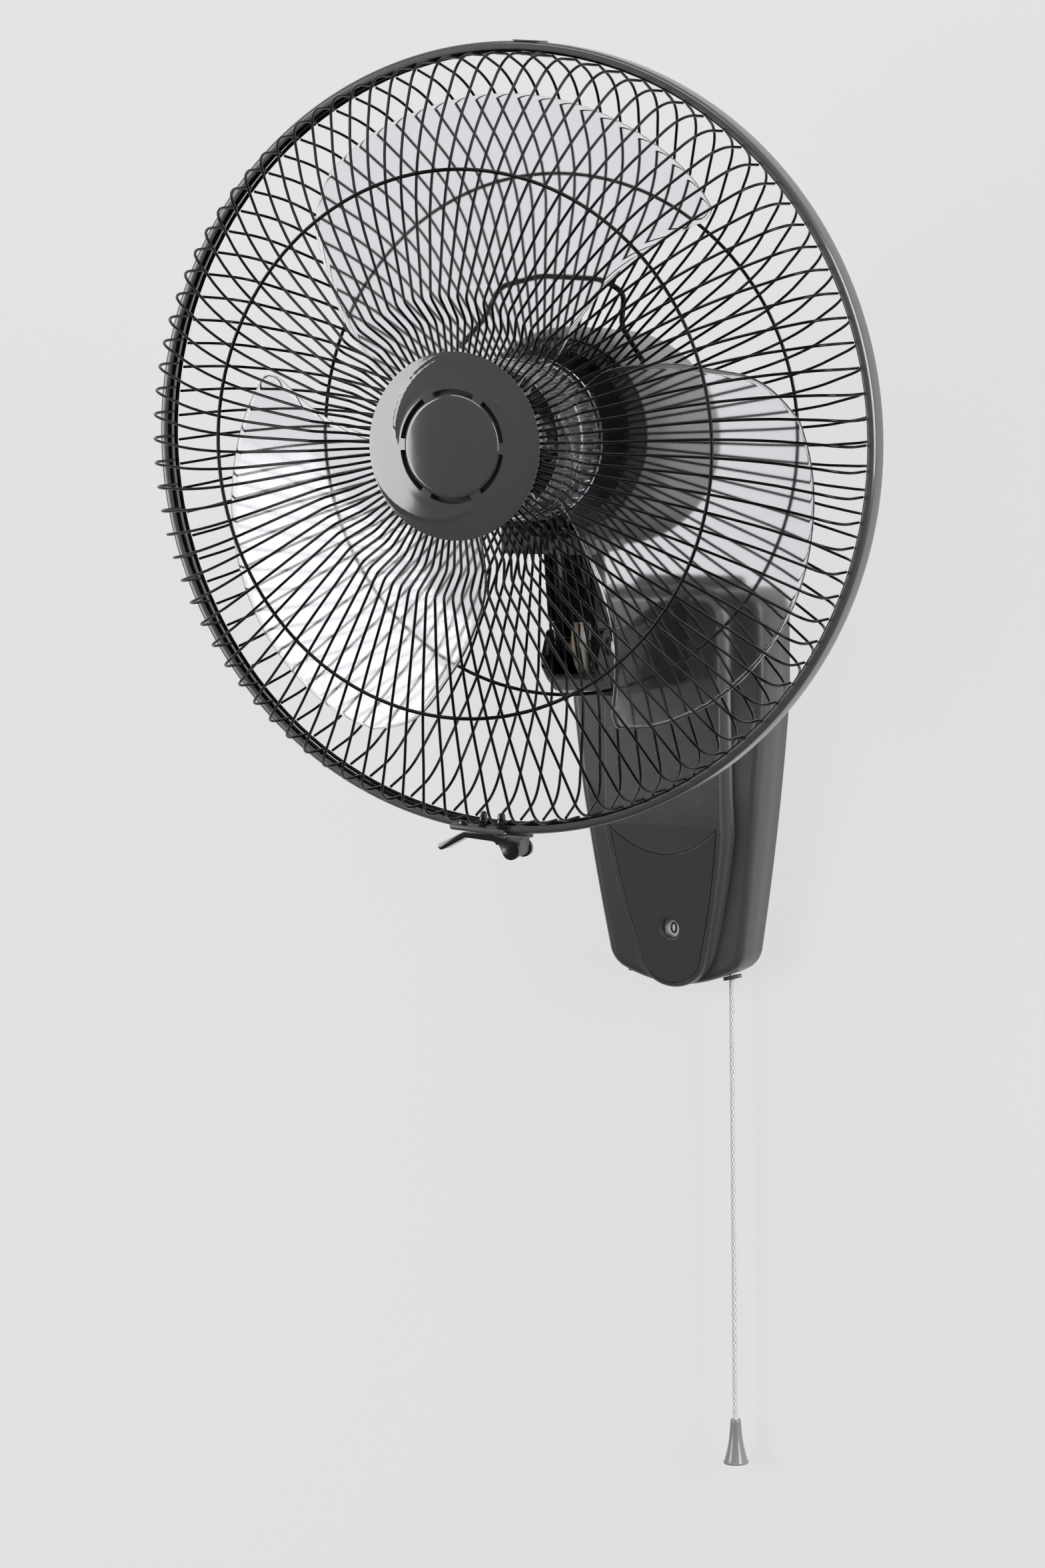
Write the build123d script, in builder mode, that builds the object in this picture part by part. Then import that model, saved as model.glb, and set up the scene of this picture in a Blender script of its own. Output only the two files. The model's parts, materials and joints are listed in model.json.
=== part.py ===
from build123d import *
import os
from math import cos, radians, sin

os.makedirs("parts", exist_ok=True)

# Wall mounted fan. Origin on the wall plane, at the centre of the four wall
# screws. +Z up, +Y into the wall, so the fan blows along -Y and +X is on the
# right for someone who looks at it. All sizes in millimetres.

# ---------------------------------------------------------------- overall
reach = 250.0            # wall to the plane of the guard's ring
rise = 220.0             # wall screw centre to the fan axis
gap = 0.3                # between pieces of different bodies
seat = 0.05              # between pieces that are fixed together
run = 0.05               # radial running clearance on a pin or shaft

# ---------------------------------------------------------------- guards
ring_r = 220.0
ring_wall = 2.8
ring_width = 13.0
ring_lip = 2.0           # inward front lip of the ring band
guard_turn = 3.8         # the guard sits turned by this on its motor, degrees
wire_count = 96
wire = 1.7
hoop = 2.4
front_mid_r, front_mid_y = 151.4, -68.2
step_outer_r, step_outer_y = 80.8, -82.8
step_inner_r, dish_y = 68.0, -70.0
front_plate_r, front_plate = 47.0, 1.8
rear_mid_r, rear_mid_y = 149.9, 63.7
rear_plate_r, rear_plate, rear_plate_y = 47.0, 1.8, 48.0
badge_r, badge_rim, badge_dome = 51.4, 1.5, 4.0
badge_spigot_r = 10.0
badge_slot_r, badge_slot_w, badge_slot_deep = 30.0, 3.6, 1.4

# ---------------------------------------------------------------- motor
motor_rear_r, motor_split_y, motor_rear_y = 62.0, 69.0, 168.0
motor_front_r, motor_front_y = motor_rear_r - 5.0, 52.0
motor_wall = 2.5
fin, fin_out = 4.0, 1.5     # fins round the front cover, and how far they stand out of it
boss_r = 14.0
nut_r, nut_h = 30.0, 8.5
shaft_r = 4.0
shaft_front_y, shaft_rear_y = -38.0, 138.0
rotor_r, rotor_len, stator_r, core_y = 21.0, 36.0, 46.0, 102.0
air_gap = 0.4
lug_w = 16.0             # the stator's four lugs, seated in the rear cover
bearing_r, bearing_len = 8.0, 9.0
bridge_y, bridge_t = 128.0, 2.0

# ---------------------------------------------------------------- blade
blade_count = 3
blade_phase = 93.0       # where the first blade's middle stands, degrees from +X
blade_lead = 190.0       # lead of the blade's screw surface in one turn
blade_span = 112.0       # screw surface made before it is trimmed, degrees
blade_r, blade_thick = 191.5, 2.3
hub_r, hub_wall, vane = 44.0, 2.2, 5.0
hub_front_y, hub_rear_y = -34.0, 24.0
spinner_r, spinner_h = 14.0, 13.0

# ---------------------------------------------------------------- neck
pan_y = 84.0             # pan axis, behind the ring plane
post_r = 17.0
post_top_z = rise - motor_rear_r - 6.0
post_rib = 1.5
gearbox_bottom_z = post_top_z + 0.6
gearbox_top_z = rise - motor_rear_r / 1.5
gearbox_y, gearbox_x = 82.0, -8.5
gearbox_w, gearbox_d = 55.0, 56.0
spindle_r = 6.0
tilt_y, tilt_z = 92.0, 98.0
cheek_half, cheek = 18.0, 4.6
ear = 4.0
ear_r = 13.0
pin_r = 3.0
nose_r = 18.0
arm_bottom, arm_top = 68.0, 119.0
flange, flange_t = 7.0, 3.0

# ---------------------------------------------------------------- base
base_top, base_bottom = 122.0, -118.5
base_half, base_half_low = 64.0, 45.0
base_wall = 2.5
shell_edge, panel_edge = 3.4, 2.8
keel_z = -109.0          # where the sides turn into the rounded keel
face_top_y, face_mid_y, face_low_y = -40.5, -37.6, -26.3
panel_half = 38.0
panel_bottom = -118.0
inlay_top = -20.0
inlay_thick = 1.6
inlay_half = 34.6
window_r, window_z = 6.0, -82.0
cord_x, cord_y = 30.0, -13.0
cord_r = 1.65
cord_drop = 268.0        # from the eyelet down to the bell
eyelet_l, eyelet_w, eyelet_h = 12.0, 7.0, 5.0
bell_top_r, bell_low_r, bell_h = 3.2, 7.8, 27.5
screw_dx, screw_dz = 50.0, 160.0
screw_hole_r = 2.5
plate_t = 1.6
plate_half, plate_top, plate_bottom = 36.0, 128.0, -96.0
drum_r, drum_len = 11.0, 10.0
back_y, back_t = -6.0, 2.5   # back cover of the housing, clear of the wall screws' heads
panel_y, panel_low_y = -46.9, -33.2
panel_top, panel_waist = 117.0, -24.0
inlay_dip = -37.0
inlay_bottom = -115.6
flange_low = 60.0
arm_root = reach + face_mid_y + (face_top_y - face_mid_y) * flange_low / (base_top + 9) + base_wall + flange_t + seat
grommet_r, grommet_hole_r, grommet_y = 6.0, 3.6, -17.0


# Planes. face_at(y) faces the room, y behind the ring plane, local x right and
# local y up, on the fan axis; base_at(y) does the same on the wall screw centre.
def face_at(y):
    return Plane(origin=(0, y - reach, rise), x_dir=(1, 0, 0), z_dir=(0, -1, 0))


def base_at(y):
    return Plane(origin=(0, y, 0), x_dir=(1, 0, 0), z_dir=(0, -1, 0))


# Points of a quarter of an oval, from its steep end (x0, y0) to its flat end (x1, y1).
def arch(x0, x1, y0, y1):
    return [(x0 + (x1 - x0) * sin(radians(t)), y1 + (y0 - y1) * cos(radians(t))) for t in (0, 30, 60, 90)]


# side: local x towards the wall from the ring plane, local y outward from the axis
side = Plane(origin=(0, -reach, rise), x_dir=(0, 1, 0), z_dir=(1, 0, 0))
# flank: local x towards the wall from the ring plane, local y is the height Z
flank = Plane(origin=(0, -reach, 0), x_dir=(0, 1, 0), z_dir=(1, 0, 0))
fan_axis = Axis((0, -reach, rise), (0, 1, 0))
tilt_at = Plane(origin=(0, tilt_y - reach, tilt_z), x_dir=(0, 1, 0), z_dir=(1, 0, 0))
pan_at = Plane(origin=(0, pan_y - reach, 0), x_dir=(1, 0, 0), z_dir=(0, 0, 1))

# ================================================================ guard
# Ring band: an angle section with its lip in front.
with BuildPart() as ring_band:
    with BuildSketch(side):
        with BuildLine():
            h = ring_width / 2
            inner = ring_r - ring_wall
            Polyline((-h, inner - ring_lip), (-h, ring_r - 1), (-h + 1, ring_r), (h, ring_r), (h, inner),
                     (-h + 2.4, inner), (-h + 2.4, inner - ring_lip), close=True)
        make_face()
    revolve(axis=fan_axis)

# Both guards: square wire, bent in its own meridian plane and welded to a centre
# plate. A rim hoop lies in the band outside the wires' ends, and a middle hoop
# lies against their inner side at the bend.
hoop_y = -ring_width / 2 + ring_lip + 0.4 + seat + hoop / 2
hoop_r = ring_r - ring_wall - 0.55 - hoop / 2
rear_hoop_y = -hoop_y + 1.0
wire_r = hoop_r - hoop / 2 - wire / 2 - seat
wire_turn = 360 / wire_count
hoop_sides = wire_count // 2

with BuildPart() as front_wire:
    with BuildLine(side) as front_path:
        Polyline((hoop_y + hoop / 2, wire_r), (hoop_y - 19, wire_r - 6), (front_mid_y, front_mid_r),
                 (step_outer_y, step_outer_r), (dish_y, step_inner_r), (dish_y, front_plate_r - 1))
    with BuildSketch(Plane(origin=front_path.line @ 0, x_dir=(1, 0, 0), z_dir=front_path.line % 0)):
        Rectangle(wire, wire)
    sweep(path=front_path.line, transition=Transition.RIGHT)

with BuildPart() as front_guard:
    with Locations(face_at(0)):
        with PolarLocations(0, wire_count, start_angle=wire_turn / 2):
            add(face_at(0).to_local_coords(front_wire.part))
    with BuildSketch(face_at(dish_y + front_plate / 2)):
        RegularPolygon(front_plate_r, wire_count // 4, major_radius=False)
        Circle(badge_spigot_r + seat, mode=Mode.SUBTRACT)
    extrude(amount=front_plate)

with BuildPart() as rear_wire:
    with BuildLine(side) as rear_path:
        Polyline((rear_hoop_y - hoop / 2, wire_r), (30, wire_r - 8), (rear_mid_y, rear_mid_r),
                 (rear_plate_y, rear_plate_r - 1))
    with BuildSketch(Plane(origin=rear_path.line @ 0, x_dir=(1, 0, 0), z_dir=rear_path.line % 0)):
        Rectangle(wire, wire)
    sweep(path=rear_path.line, transition=Transition.RIGHT)

with BuildPart() as rear_guard:
    with Locations(face_at(0)):
        with PolarLocations(0, wire_count, start_angle=wire_turn / 2):
            add(face_at(0).to_local_coords(rear_wire.part))
    with BuildSketch(face_at(rear_plate_y + rear_plate / 2)):
        RegularPolygon(rear_plate_r, wire_count // 4, major_radius=False)
        Circle(boss_r + seat, mode=Mode.SUBTRACT)
    extrude(amount=rear_plate)


# A hoop of square wire, bent round the fan axis; back is its side towards the wall.
def hoop_ring(r):
    with BuildSketch(Plane.XY) as ring:
        RegularPolygon(r + hoop / 2, hoop_sides, major_radius=False)
        RegularPolygon(r - hoop / 2, hoop_sides, major_radius=False, mode=Mode.SUBTRACT)
    return ring.sketch


with BuildPart() as front_rim_hoop:
    with BuildSketch(face_at(hoop_y + hoop / 2)):
        add(hoop_ring(hoop_r))
    extrude(amount=hoop)

with BuildPart() as front_mid_hoop:
    with BuildSketch(face_at(front_mid_y + wire * 0.6 + seat + hoop)):
        add(hoop_ring(front_mid_r - 1 - hoop / 2))
    extrude(amount=hoop)

with BuildPart() as rear_rim_hoop:
    with BuildSketch(face_at(rear_hoop_y + hoop / 2)):
        add(hoop_ring(hoop_r))
    extrude(amount=hoop)

with BuildPart() as rear_mid_hoop:
    with BuildSketch(face_at(rear_mid_y - wire - seat)):
        add(hoop_ring(rear_mid_r - 1 - hoop / 2))
    extrude(amount=hoop)

# Badge: a plain cap in the dish of the guard, flat in the middle, with a ring of
# six slots and a low dome that falls away to its rim.
badge_back = dish_y - front_plate / 2 - seat
with BuildPart() as badge:
    with BuildSketch(side):
        with BuildLine():
            rim_y, top_y = badge_back - badge_rim, badge_back - badge_rim - badge_dome
            flat_r = badge_slot_r + 3
            Polyline(*arch(rim_y, top_y, badge_r, flat_r), (top_y, 0), (badge_back + front_plate, 0),
                     (badge_back + front_plate, badge_spigot_r), (badge_back, badge_spigot_r), (badge_back, badge_r), close=True)
        make_face()
    revolve(axis=fan_axis)
    with BuildSketch(face_at(badge_back - badge_rim - badge_dome + badge_slot_deep)):
        Circle(badge_slot_r + badge_slot_w / 2)
        Circle(badge_slot_r - badge_slot_w / 2, mode=Mode.SUBTRACT)
        with PolarLocations(badge_slot_r, 6):
            Rectangle(2 * badge_slot_w, 4, mode=Mode.SUBTRACT)
    extrude(amount=badge_dome, mode=Mode.SUBTRACT)

# Handle: one bent wire that stands off the back of the rear guard.
handle_y = 72.0
handle_pts = [(-57, 50, 54), (-49, 66, handle_y - 2), (-40, 84, handle_y), (-14, 90, handle_y),
              (24, 88, handle_y), (38, 80, handle_y), (37, 66, handle_y - 2), (46, 50, 54)]
with BuildPart() as guard_handle:
    with BuildLine() as handle_path:
        FilletPolyline(*[(x, y - reach, z + rise) for x, z, y in handle_pts], radius=5)
    with BuildSketch(Plane(origin=handle_path.line @ 0, z_dir=handle_path.line % 0)):
        RegularPolygon(1.6, 6)
    sweep(path=handle_path.line)

# ---------------------------------------------------------------- clip and latch
clip_w, clip_t = 15.0, 1.6
top_dir = 90 - guard_turn
low_dir = 270 - guard_turn
lip_x, lip_w, lip_h, lip_up, lip_t = 5.4, 32.0, 7.4, 3.4, 2.2
latch_x = 16.0           # latch pivot, along the ring from the latch middle
latch_drop = 8.6         # latch pivot below the ring's outer face
foot_w, foot_t, boss_latch_r = 13.0, 1.8, 4.2
lever_r, lever_t, lever_len = 4.7, 2.6, 44.0
lever_pin_r = 1.5
lever_in, lever_bar = -6.4, 4.0      # where the crossbar ends along the ring, and its width
lever_top, lever_h, lever_w = 4.6, 5.0, 7.6


# A plane on the ring's rim at an angle: local x along the ring, local y outward.
def rim_at(angle, y):
    c = Vector(cos(radians(angle)), 0, sin(radians(angle)))
    return Plane(origin=Vector(0, y - reach, rise) + c * ring_r,
                 x_dir=(sin(radians(angle)), 0, -cos(radians(angle))), z_dir=(0, -1, 0))


with BuildPart() as top_clip:
    back = ring_width / 2 + seat
    with BuildSketch(rim_at(top_dir, back + clip_t)):
        with Locations((0, clip_t + seat)):
            Rectangle(clip_w, clip_t + seat + ring_wall + 1.2, align=(Align.CENTER, Align.MAX))
    extrude(amount=clip_t)
    with BuildSketch(rim_at(top_dir, back + clip_t)):
        with Locations((0, seat)):
            Rectangle(clip_w, clip_t, align=(Align.CENTER, Align.MIN))
    extrude(amount=clip_t + ring_width)
    with BuildSketch(rim_at(top_dir, 3)):
        with Locations(*[(x, clip_t) for x in (-5.2, 0, 5.2)]):
            Rectangle(2.6, 1.2, align=(Align.CENTER, Align.MIN))
    extrude(amount=6)

with BuildPart() as latch_lip:
    with BuildSketch(rim_at(low_dir, -ring_width / 2 - seat)):
        with Locations((lip_x, -lip_up)):
            Rectangle(lip_w, lip_h, align=(Align.CENTER, Align.MIN))
    extrude(amount=lip_t)
    fillet(latch_lip.edges().filter_by(Axis.Y), 1.0)

# A foot under the band carries a boss, and the lever's two cheeks turn on a pin
# through that boss. A crossbar behind the boss joins them, and the arm runs from
# there under the lip.
with BuildPart() as latch_bracket:
    with BuildSketch(rim_at(low_dir, ring_width / 2)):
        with Locations((-latch_x, seat)):
            Rectangle(foot_w, foot_t, align=(Align.CENTER, Align.MIN))
            Rectangle(2 * boss_latch_r, latch_drop, align=(Align.CENTER, Align.MIN))
        with Locations((-latch_x, latch_drop)):
            Circle(boss_latch_r)
            Circle(lever_pin_r + seat, mode=Mode.SUBTRACT)
    extrude(amount=ring_width)

cheek_y = ring_width / 2 + gap
with BuildPart() as latch_pin:
    with BuildSketch(rim_at(low_dir, cheek_y + lever_t + 1)):
        with Locations((-latch_x, latch_drop)):
            Circle(lever_pin_r)
    extrude(amount=2 * (cheek_y + lever_t + 1))
    for y in (cheek_y + lever_t + gap + 1, -cheek_y - lever_t - gap):
        with BuildSketch(rim_at(low_dir, y)):
            with Locations((-latch_x, latch_drop)):
                Circle(lever_pin_r + 1)
        extrude(amount=1)

with BuildPart() as latch_lever:
    for y in (cheek_y + lever_t, -cheek_y):
        with BuildSketch(rim_at(low_dir, y)):
            with Locations((-latch_x, latch_drop)):
                Circle(lever_r)
            with Locations((lever_in, latch_drop)):
                Rectangle(lever_bar + latch_x + lever_in, lever_r, align=(Align.MAX, Align.CENTER))
        extrude(amount=lever_t)
    with BuildSketch(rim_at(low_dir, cheek_y + lever_t)):
        with Locations((lever_in - lever_bar, lever_top)):
            Rectangle(lever_bar, lever_h, align=(Align.MIN, Align.MIN))
    extrude(amount=2 * (cheek_y + lever_t))
    with BuildSketch(rim_at(low_dir, -cheek_y - lever_t + lever_w)):
        with BuildLine():
            end = lever_len - latch_x
            Polyline((lever_in - lever_bar, lever_top), (end - 11, lever_top), (end, lever_top + 1.6),
                     (end + 1.2, lever_top + 4.8), (end - 13, lever_top + lever_h - 0.8),
                     (lever_in - lever_bar, lever_top + lever_h), close=True)
        make_face()
    extrude(amount=lever_w)
    with BuildSketch(rim_at(low_dir, cheek_y + lever_t + 1)):
        with Locations((-latch_x, latch_drop)):
            Circle(lever_pin_r + run)
    extrude(amount=2 * (cheek_y + lever_t + 1), mode=Mode.SUBTRACT)

# ================================================================ motor
with BuildPart() as motor_front_cover:
    with BuildSketch(side):
        with BuildLine():
            f, b, s = motor_front_y, motor_split_y - seat, motor_wall
            nose = rear_plate_y - nut_h - 1
            Polyline((nose, bearing_r + seat), (nose, boss_r), (f, boss_r), (f, motor_front_r - 5), (f + 5, motor_front_r),
                     (b, motor_front_r), (b, motor_front_r - s), (f + s, motor_front_r - s - 3), (f + s, bearing_r + seat), close=True)
        make_face()
    revolve(axis=fan_axis)
    with BuildSketch(face_at(f)):
        with PolarLocations((boss_r + motor_front_r) / 2 - 1.5, 18):
            Rectangle(30, 1.6)
    extrude(amount=1.2)
    with BuildSketch(face_at(motor_split_y - 1)):
        with PolarLocations(motor_front_r + fin_out - fin / 2, 30):
            Rectangle(fin, 1.8)
    extrude(amount=motor_split_y - motor_front_y - 3)

with BuildPart() as motor_rear_cover:
    with BuildSketch(side):
        with BuildLine():
            f, b, s, r = motor_split_y, motor_rear_y, motor_wall, motor_rear_r
            Polyline((f, r - s), (f, r), *arch(b - 32, b, r, r - 34), (b, 0), (b - s, 0), (b - s, r - 36),
                     (b - 9, r - 36), (b - 9, r - 20), (b - 33, r - 20), (b - 33, r - s), close=True)
        make_face()
    revolve(axis=fan_axis)
    with BuildSketch(face_at(motor_rear_y + 1)):
        with GridLocations(0, 7, 1, 5):
            Rectangle(34, 2.6)
    extrude(amount=motor_wall + 2, mode=Mode.SUBTRACT)

with BuildPart() as gearbox_case:
    with BuildSketch(pan_at.offset(gearbox_bottom_z)):
        with Locations((gearbox_x, pan_y - gearbox_y)):
            RectangleRounded(gearbox_w, gearbox_d, 4)
    extrude(amount=gearbox_top_z - gearbox_bottom_z)
    with BuildSketch(face_at(motor_split_y + 60)):
        Circle(motor_rear_r + seat)
    extrude(amount=60, mode=Mode.SUBTRACT)
    with BuildSketch(face_at(motor_split_y + 1)):
        Circle(motor_front_r + fin_out + seat)
    extrude(amount=20, mode=Mode.SUBTRACT)
    with BuildSketch(pan_at.offset(gearbox_bottom_z)):
        Circle(spindle_r + run)
    extrude(amount=gearbox_top_z - gearbox_bottom_z, mode=Mode.SUBTRACT)

with BuildPart() as stator:
    with BuildSketch(face_at(core_y + rotor_len / 2)):
        Rectangle(2 * motor_rear_r, lug_w)
        Rectangle(lug_w, 2 * motor_rear_r)
        Circle(motor_rear_r - motor_wall - seat, mode=Mode.INTERSECT)
        RegularPolygon(stator_r, 12, major_radius=False)
        Circle(rotor_r + air_gap, mode=Mode.SUBTRACT)
    extrude(amount=rotor_len)

with BuildPart() as bearings:
    for y in (motor_front_y + motor_wall, bridge_y + bridge_t + 3):
        with BuildSketch(face_at(y)):
            Circle(bearing_r)
            Circle(shaft_r + run, mode=Mode.SUBTRACT)
        extrude(amount=bearing_len)

# A strap across the rear cover carries the rear bearing.
with BuildPart() as bearing_bridge:
    with BuildSketch(face_at(bridge_y + bridge_t)):
        Circle(motor_rear_r - motor_wall - seat)
        Rectangle(2 * motor_rear_r, 26, mode=Mode.INTERSECT)
        Circle(bearing_r + seat, mode=Mode.SUBTRACT)
    extrude(amount=bridge_t)

with BuildPart() as guard_nut:
    with BuildSketch(face_at(rear_plate_y - rear_plate / 2 - seat)):
        Circle(nut_r)
        with PolarLocations(nut_r, 8):
            Rectangle(4, 5, mode=Mode.SUBTRACT)
        Circle(boss_r + seat, mode=Mode.SUBTRACT)
    extrude(amount=nut_h)

# ================================================================ blade
# Three blades on one screw surface, trimmed to their outline, round an open hub.
# The outline is given in degrees from the blade's middle and shares of blade_r.
root = (hub_r - 1) / blade_r
leading = [(-44.8, 0.888), (-45, 0.841), (-40.6, 0.726), (-36, 0.595), (-32, 0.418), (-28, root)]
outer = [(-36, 0.933), (-18, 0.982), (0, 1), (20, 0.979), (31, 0.945)]
trailing = [(48, root), (56, 0.392), (51, 0.559), (44.6, 0.710), (39, 0.851)]
blade_steps = 8


def polar(points):
    return [(blade_r * r * cos(radians(a + blade_phase)), blade_r * r * sin(radians(a + blade_phase))) for a, r in points]


# The screw surface is ruled through one radial section after another.
with BuildPart() as blade_surface:
    for i in range(blade_steps + 1):
        turn = blade_span * (i / blade_steps - 0.5)
        a = radians(blade_phase + turn)
        mid_r = (blade_r + hub_r) / 2
        with BuildSketch(Plane(origin=(mid_r * cos(a), -blade_lead * turn / 360 - reach, rise + mid_r * sin(a)),
                               x_dir=(cos(a), 0, sin(a)), z_dir=(-sin(a), 0, cos(a)))):
            Rectangle(blade_r - hub_r + 16, blade_thick)
    loft(ruled=True)

with BuildPart() as blade_one:
    with BuildSketch(face_at(45)):
        with BuildLine():
            Spline(*polar(leading[::-1]))
            Spline(*polar(leading[:1] + outer))
            Spline(*polar(outer[-1:] + trailing[::-1]))
            Line(polar(trailing[:1])[0], polar(leading[-1:])[0])
        make_face()
    extrude(amount=90)
    add(blade_surface.part, mode=Mode.INTERSECT)

with BuildPart() as blade:
    with BuildSketch(side):
        with BuildLine():
            f, b, s = hub_front_y, hub_rear_y, hub_wall
            Polyline((f, shaft_r + seat), (f, hub_r - 6), (f + 6, hub_r), (b - 3, hub_r), (b - 3, hub_r + 6), (b, hub_r + 6),
                     (b, hub_r - s), (f + 7, hub_r - s), (f + s, hub_r - 7), (f + s, shaft_r + 5),
                     (f + 26, shaft_r + 5), (f + 26, shaft_r + seat), close=True)
        make_face()
    revolve(axis=fan_axis)
    with Locations(face_at(0)):
        with PolarLocations(0, blade_count):
            add(face_at(0).to_local_coords(blade_one.part))
    with BuildSketch(face_at(hub_front_y + hub_wall + 24)):
        with PolarLocations((hub_r + shaft_r) / 2 + 1, 6):
            Rectangle(hub_r - shaft_r - 6, 1.6)
    extrude(amount=24)
    with BuildSketch(face_at(hub_rear_y - 3)):
        with PolarLocations(hub_r + vane / 2 - 0.5, 30):
            Rectangle(vane, 1.2)
    extrude(amount=vane + 1)
    with BuildSketch(face_at(hub_front_y + 26 + 1)):
        Rectangle(2 * (shaft_r + 6), 2 * 1.25)
    extrude(amount=4, mode=Mode.SUBTRACT)

with BuildPart() as drive_pin:
    with BuildSketch(Plane(origin=(-(shaft_r + 5), hub_front_y + 25 - reach, rise), x_dir=(0, 1, 0), z_dir=(1, 0, 0))):
        Circle(1.2)
    extrude(amount=2 * (shaft_r + 5))

with BuildPart() as shaft:
    with BuildSketch(face_at(shaft_rear_y)):
        Circle(shaft_r)
    extrude(amount=shaft_rear_y - shaft_front_y)
    with BuildSketch(Plane(origin=(-(shaft_r + 5), hub_front_y + 25 - reach, rise), x_dir=(0, 1, 0), z_dir=(1, 0, 0))):
        Circle(1.2 + 0.02)
    extrude(amount=2 * (shaft_r + 5), mode=Mode.SUBTRACT)

with BuildPart() as rotor:
    with BuildSketch(face_at(core_y + rotor_len / 2)):
        Circle(rotor_r)
        Circle(shaft_r + 0.02, mode=Mode.SUBTRACT)
    extrude(amount=rotor_len)

with BuildPart() as spinner:
    with BuildSketch(side):
        with BuildLine():
            f = hub_front_y - seat
            Polyline((f - spinner_h, 0), (f - spinner_h, spinner_r - 3), (f - spinner_h + 3, spinner_r),
                     (f, spinner_r), (f, shaft_r + seat),
                     (shaft_front_y - seat, shaft_r + seat), (shaft_front_y - seat, 0), close=True)
        make_face()
    revolve(axis=fan_axis)

# ================================================================ neck
# Post: a leaning column with ribs down its front, hollow at its foot, where two
# ears hang on the tilt pin.
cheek_in = cheek_half - cheek
ear_out = cheek_in - gap
post_low_z = tilt_z + 15.0
with BuildPart() as neck_post:
    foot, over = Vector(0, tilt_y - 3 - reach, post_low_z), 3.0
    lean = (Vector(0, pan_y - reach, post_top_z) - foot).normalized()
    with BuildSketch(Plane(origin=foot - lean * over, x_dir=(1, 0, 0), z_dir=lean)):
        Circle(post_r)
        with PolarLocations(post_r, 7, 216, 108, endpoint=True):
            Rectangle(2 * post_rib, post_rib)
    extrude(amount=post_top_z - post_low_z + 2 * over)
    split(bisect_by=Plane.XY.offset(post_top_z), keep=Keep.BOTTOM)
    split(bisect_by=Plane.XY.offset(post_low_z), keep=Keep.TOP)
    for s in (-1, 1):
        x0 = s * ear_out if s < 0 else ear_out - ear
        with BuildSketch(Plane(origin=(x0, -reach, 0), x_dir=(0, 1, 0), z_dir=(1, 0, 0))):
            with Locations((tilt_y, tilt_z)):
                Circle(ear_r - 1)
            with Locations((tilt_y - 1, tilt_z)):
                Rectangle(20, post_low_z - tilt_z + 1, align=(Align.CENTER, Align.MIN))
        extrude(amount=ear)
    with BuildSketch(pan_at.offset(post_low_z - 1)):
        with Locations((0, tilt_y - pan_y - 4)):
            Rectangle(2 * (ear_out - ear), 24)
    extrude(amount=16, mode=Mode.SUBTRACT)
    with BuildSketch(tilt_at.offset(-30)):
        Circle(pin_r + run)
    extrude(amount=60, mode=Mode.SUBTRACT)
    with BuildSketch(pan_at.offset(post_top_z - 20)):
        Circle(spindle_r + seat)
    extrude(amount=21, mode=Mode.SUBTRACT)

with BuildPart() as pan_spindle:
    with BuildSketch(pan_at.offset(post_top_z - 20)):
        Circle(spindle_r)
    extrude(amount=24)

# Arm: runs out of the housing and ends in a fork with an open front. Its cheeks
# stay inside ear_reach above the pin, so that the post's foot swings over them.
ear_reach = post_low_z - tilt_z - gap
with BuildPart() as neck_arm:
    with BuildSketch(flank.offset(-cheek_half)) as neck_arm_side:
        with BuildLine():
            Polyline((arm_root, arm_top), (158, arm_top), (130, tilt_z + 14), (112, tilt_z + 9.5), (tilt_y + 4, tilt_z + 9.5))
            Line((tilt_y + 4, tilt_z + 9.5), (tilt_y - 10, tilt_z + 9.5))
            Polyline((tilt_y - 10, tilt_z + 9.5), (tilt_y - ear_reach, tilt_z + 1), (tilt_y - nose_r, tilt_z - 5),
                     (tilt_y - nose_r, tilt_z - 11), (tilt_y - 10, tilt_z - 19), (tilt_y, arm_bottom + 4),
                     (tilt_y + 13, arm_bottom), (arm_root, arm_bottom), (arm_root, arm_top))
        make_face()
        fillet(neck_arm_side.vertices().filter_by(lambda v: v.X < arm_root - 1), 3.5)
    extrude(amount=2 * cheek_half)
    with BuildSketch(flank.offset(-cheek_in)):
        with BuildLine():
            Polyline((tilt_y - nose_r - 1, tilt_z + 12), (114, tilt_z + 12), (118, tilt_z + 2), (arm_root - 30, tilt_z + 4),
                     (arm_root + 1, tilt_z + 4), (arm_root + 1, arm_bottom + 4), (tilt_y + 14, arm_bottom + 4),
                     (tilt_y + 2, arm_bottom + 8), (tilt_y - nose_r - 1, tilt_z - 13), close=True)
        make_face()
    extrude(amount=2 * cheek_in, mode=Mode.SUBTRACT)
    with BuildSketch(face_at(arm_root)):
        with Locations((0, arm_top - 0.5 - rise)):
            Rectangle(2 * (cheek_half + flange), arm_top - flange_low, align=(Align.CENTER, Align.MAX))
        with Locations((0, arm_bottom + 4 - rise)):
            Rectangle(2 * cheek_in, tilt_z - arm_bottom, align=(Align.CENTER, Align.MIN), mode=Mode.SUBTRACT)
    extrude(amount=flange_t)
    with BuildSketch(tilt_at.offset(-30)):
        Circle(pin_r + seat)
    extrude(amount=60, mode=Mode.SUBTRACT)

with BuildPart() as tilt_pin:
    with BuildSketch(tilt_at.offset(-cheek_half - 5)):
        Circle(pin_r)
    extrude(amount=2 * cheek_half + 6)
    with BuildSketch(tilt_at.offset(cheek_half + seat)):
        Circle(5.5)
    extrude(amount=3)

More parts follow.
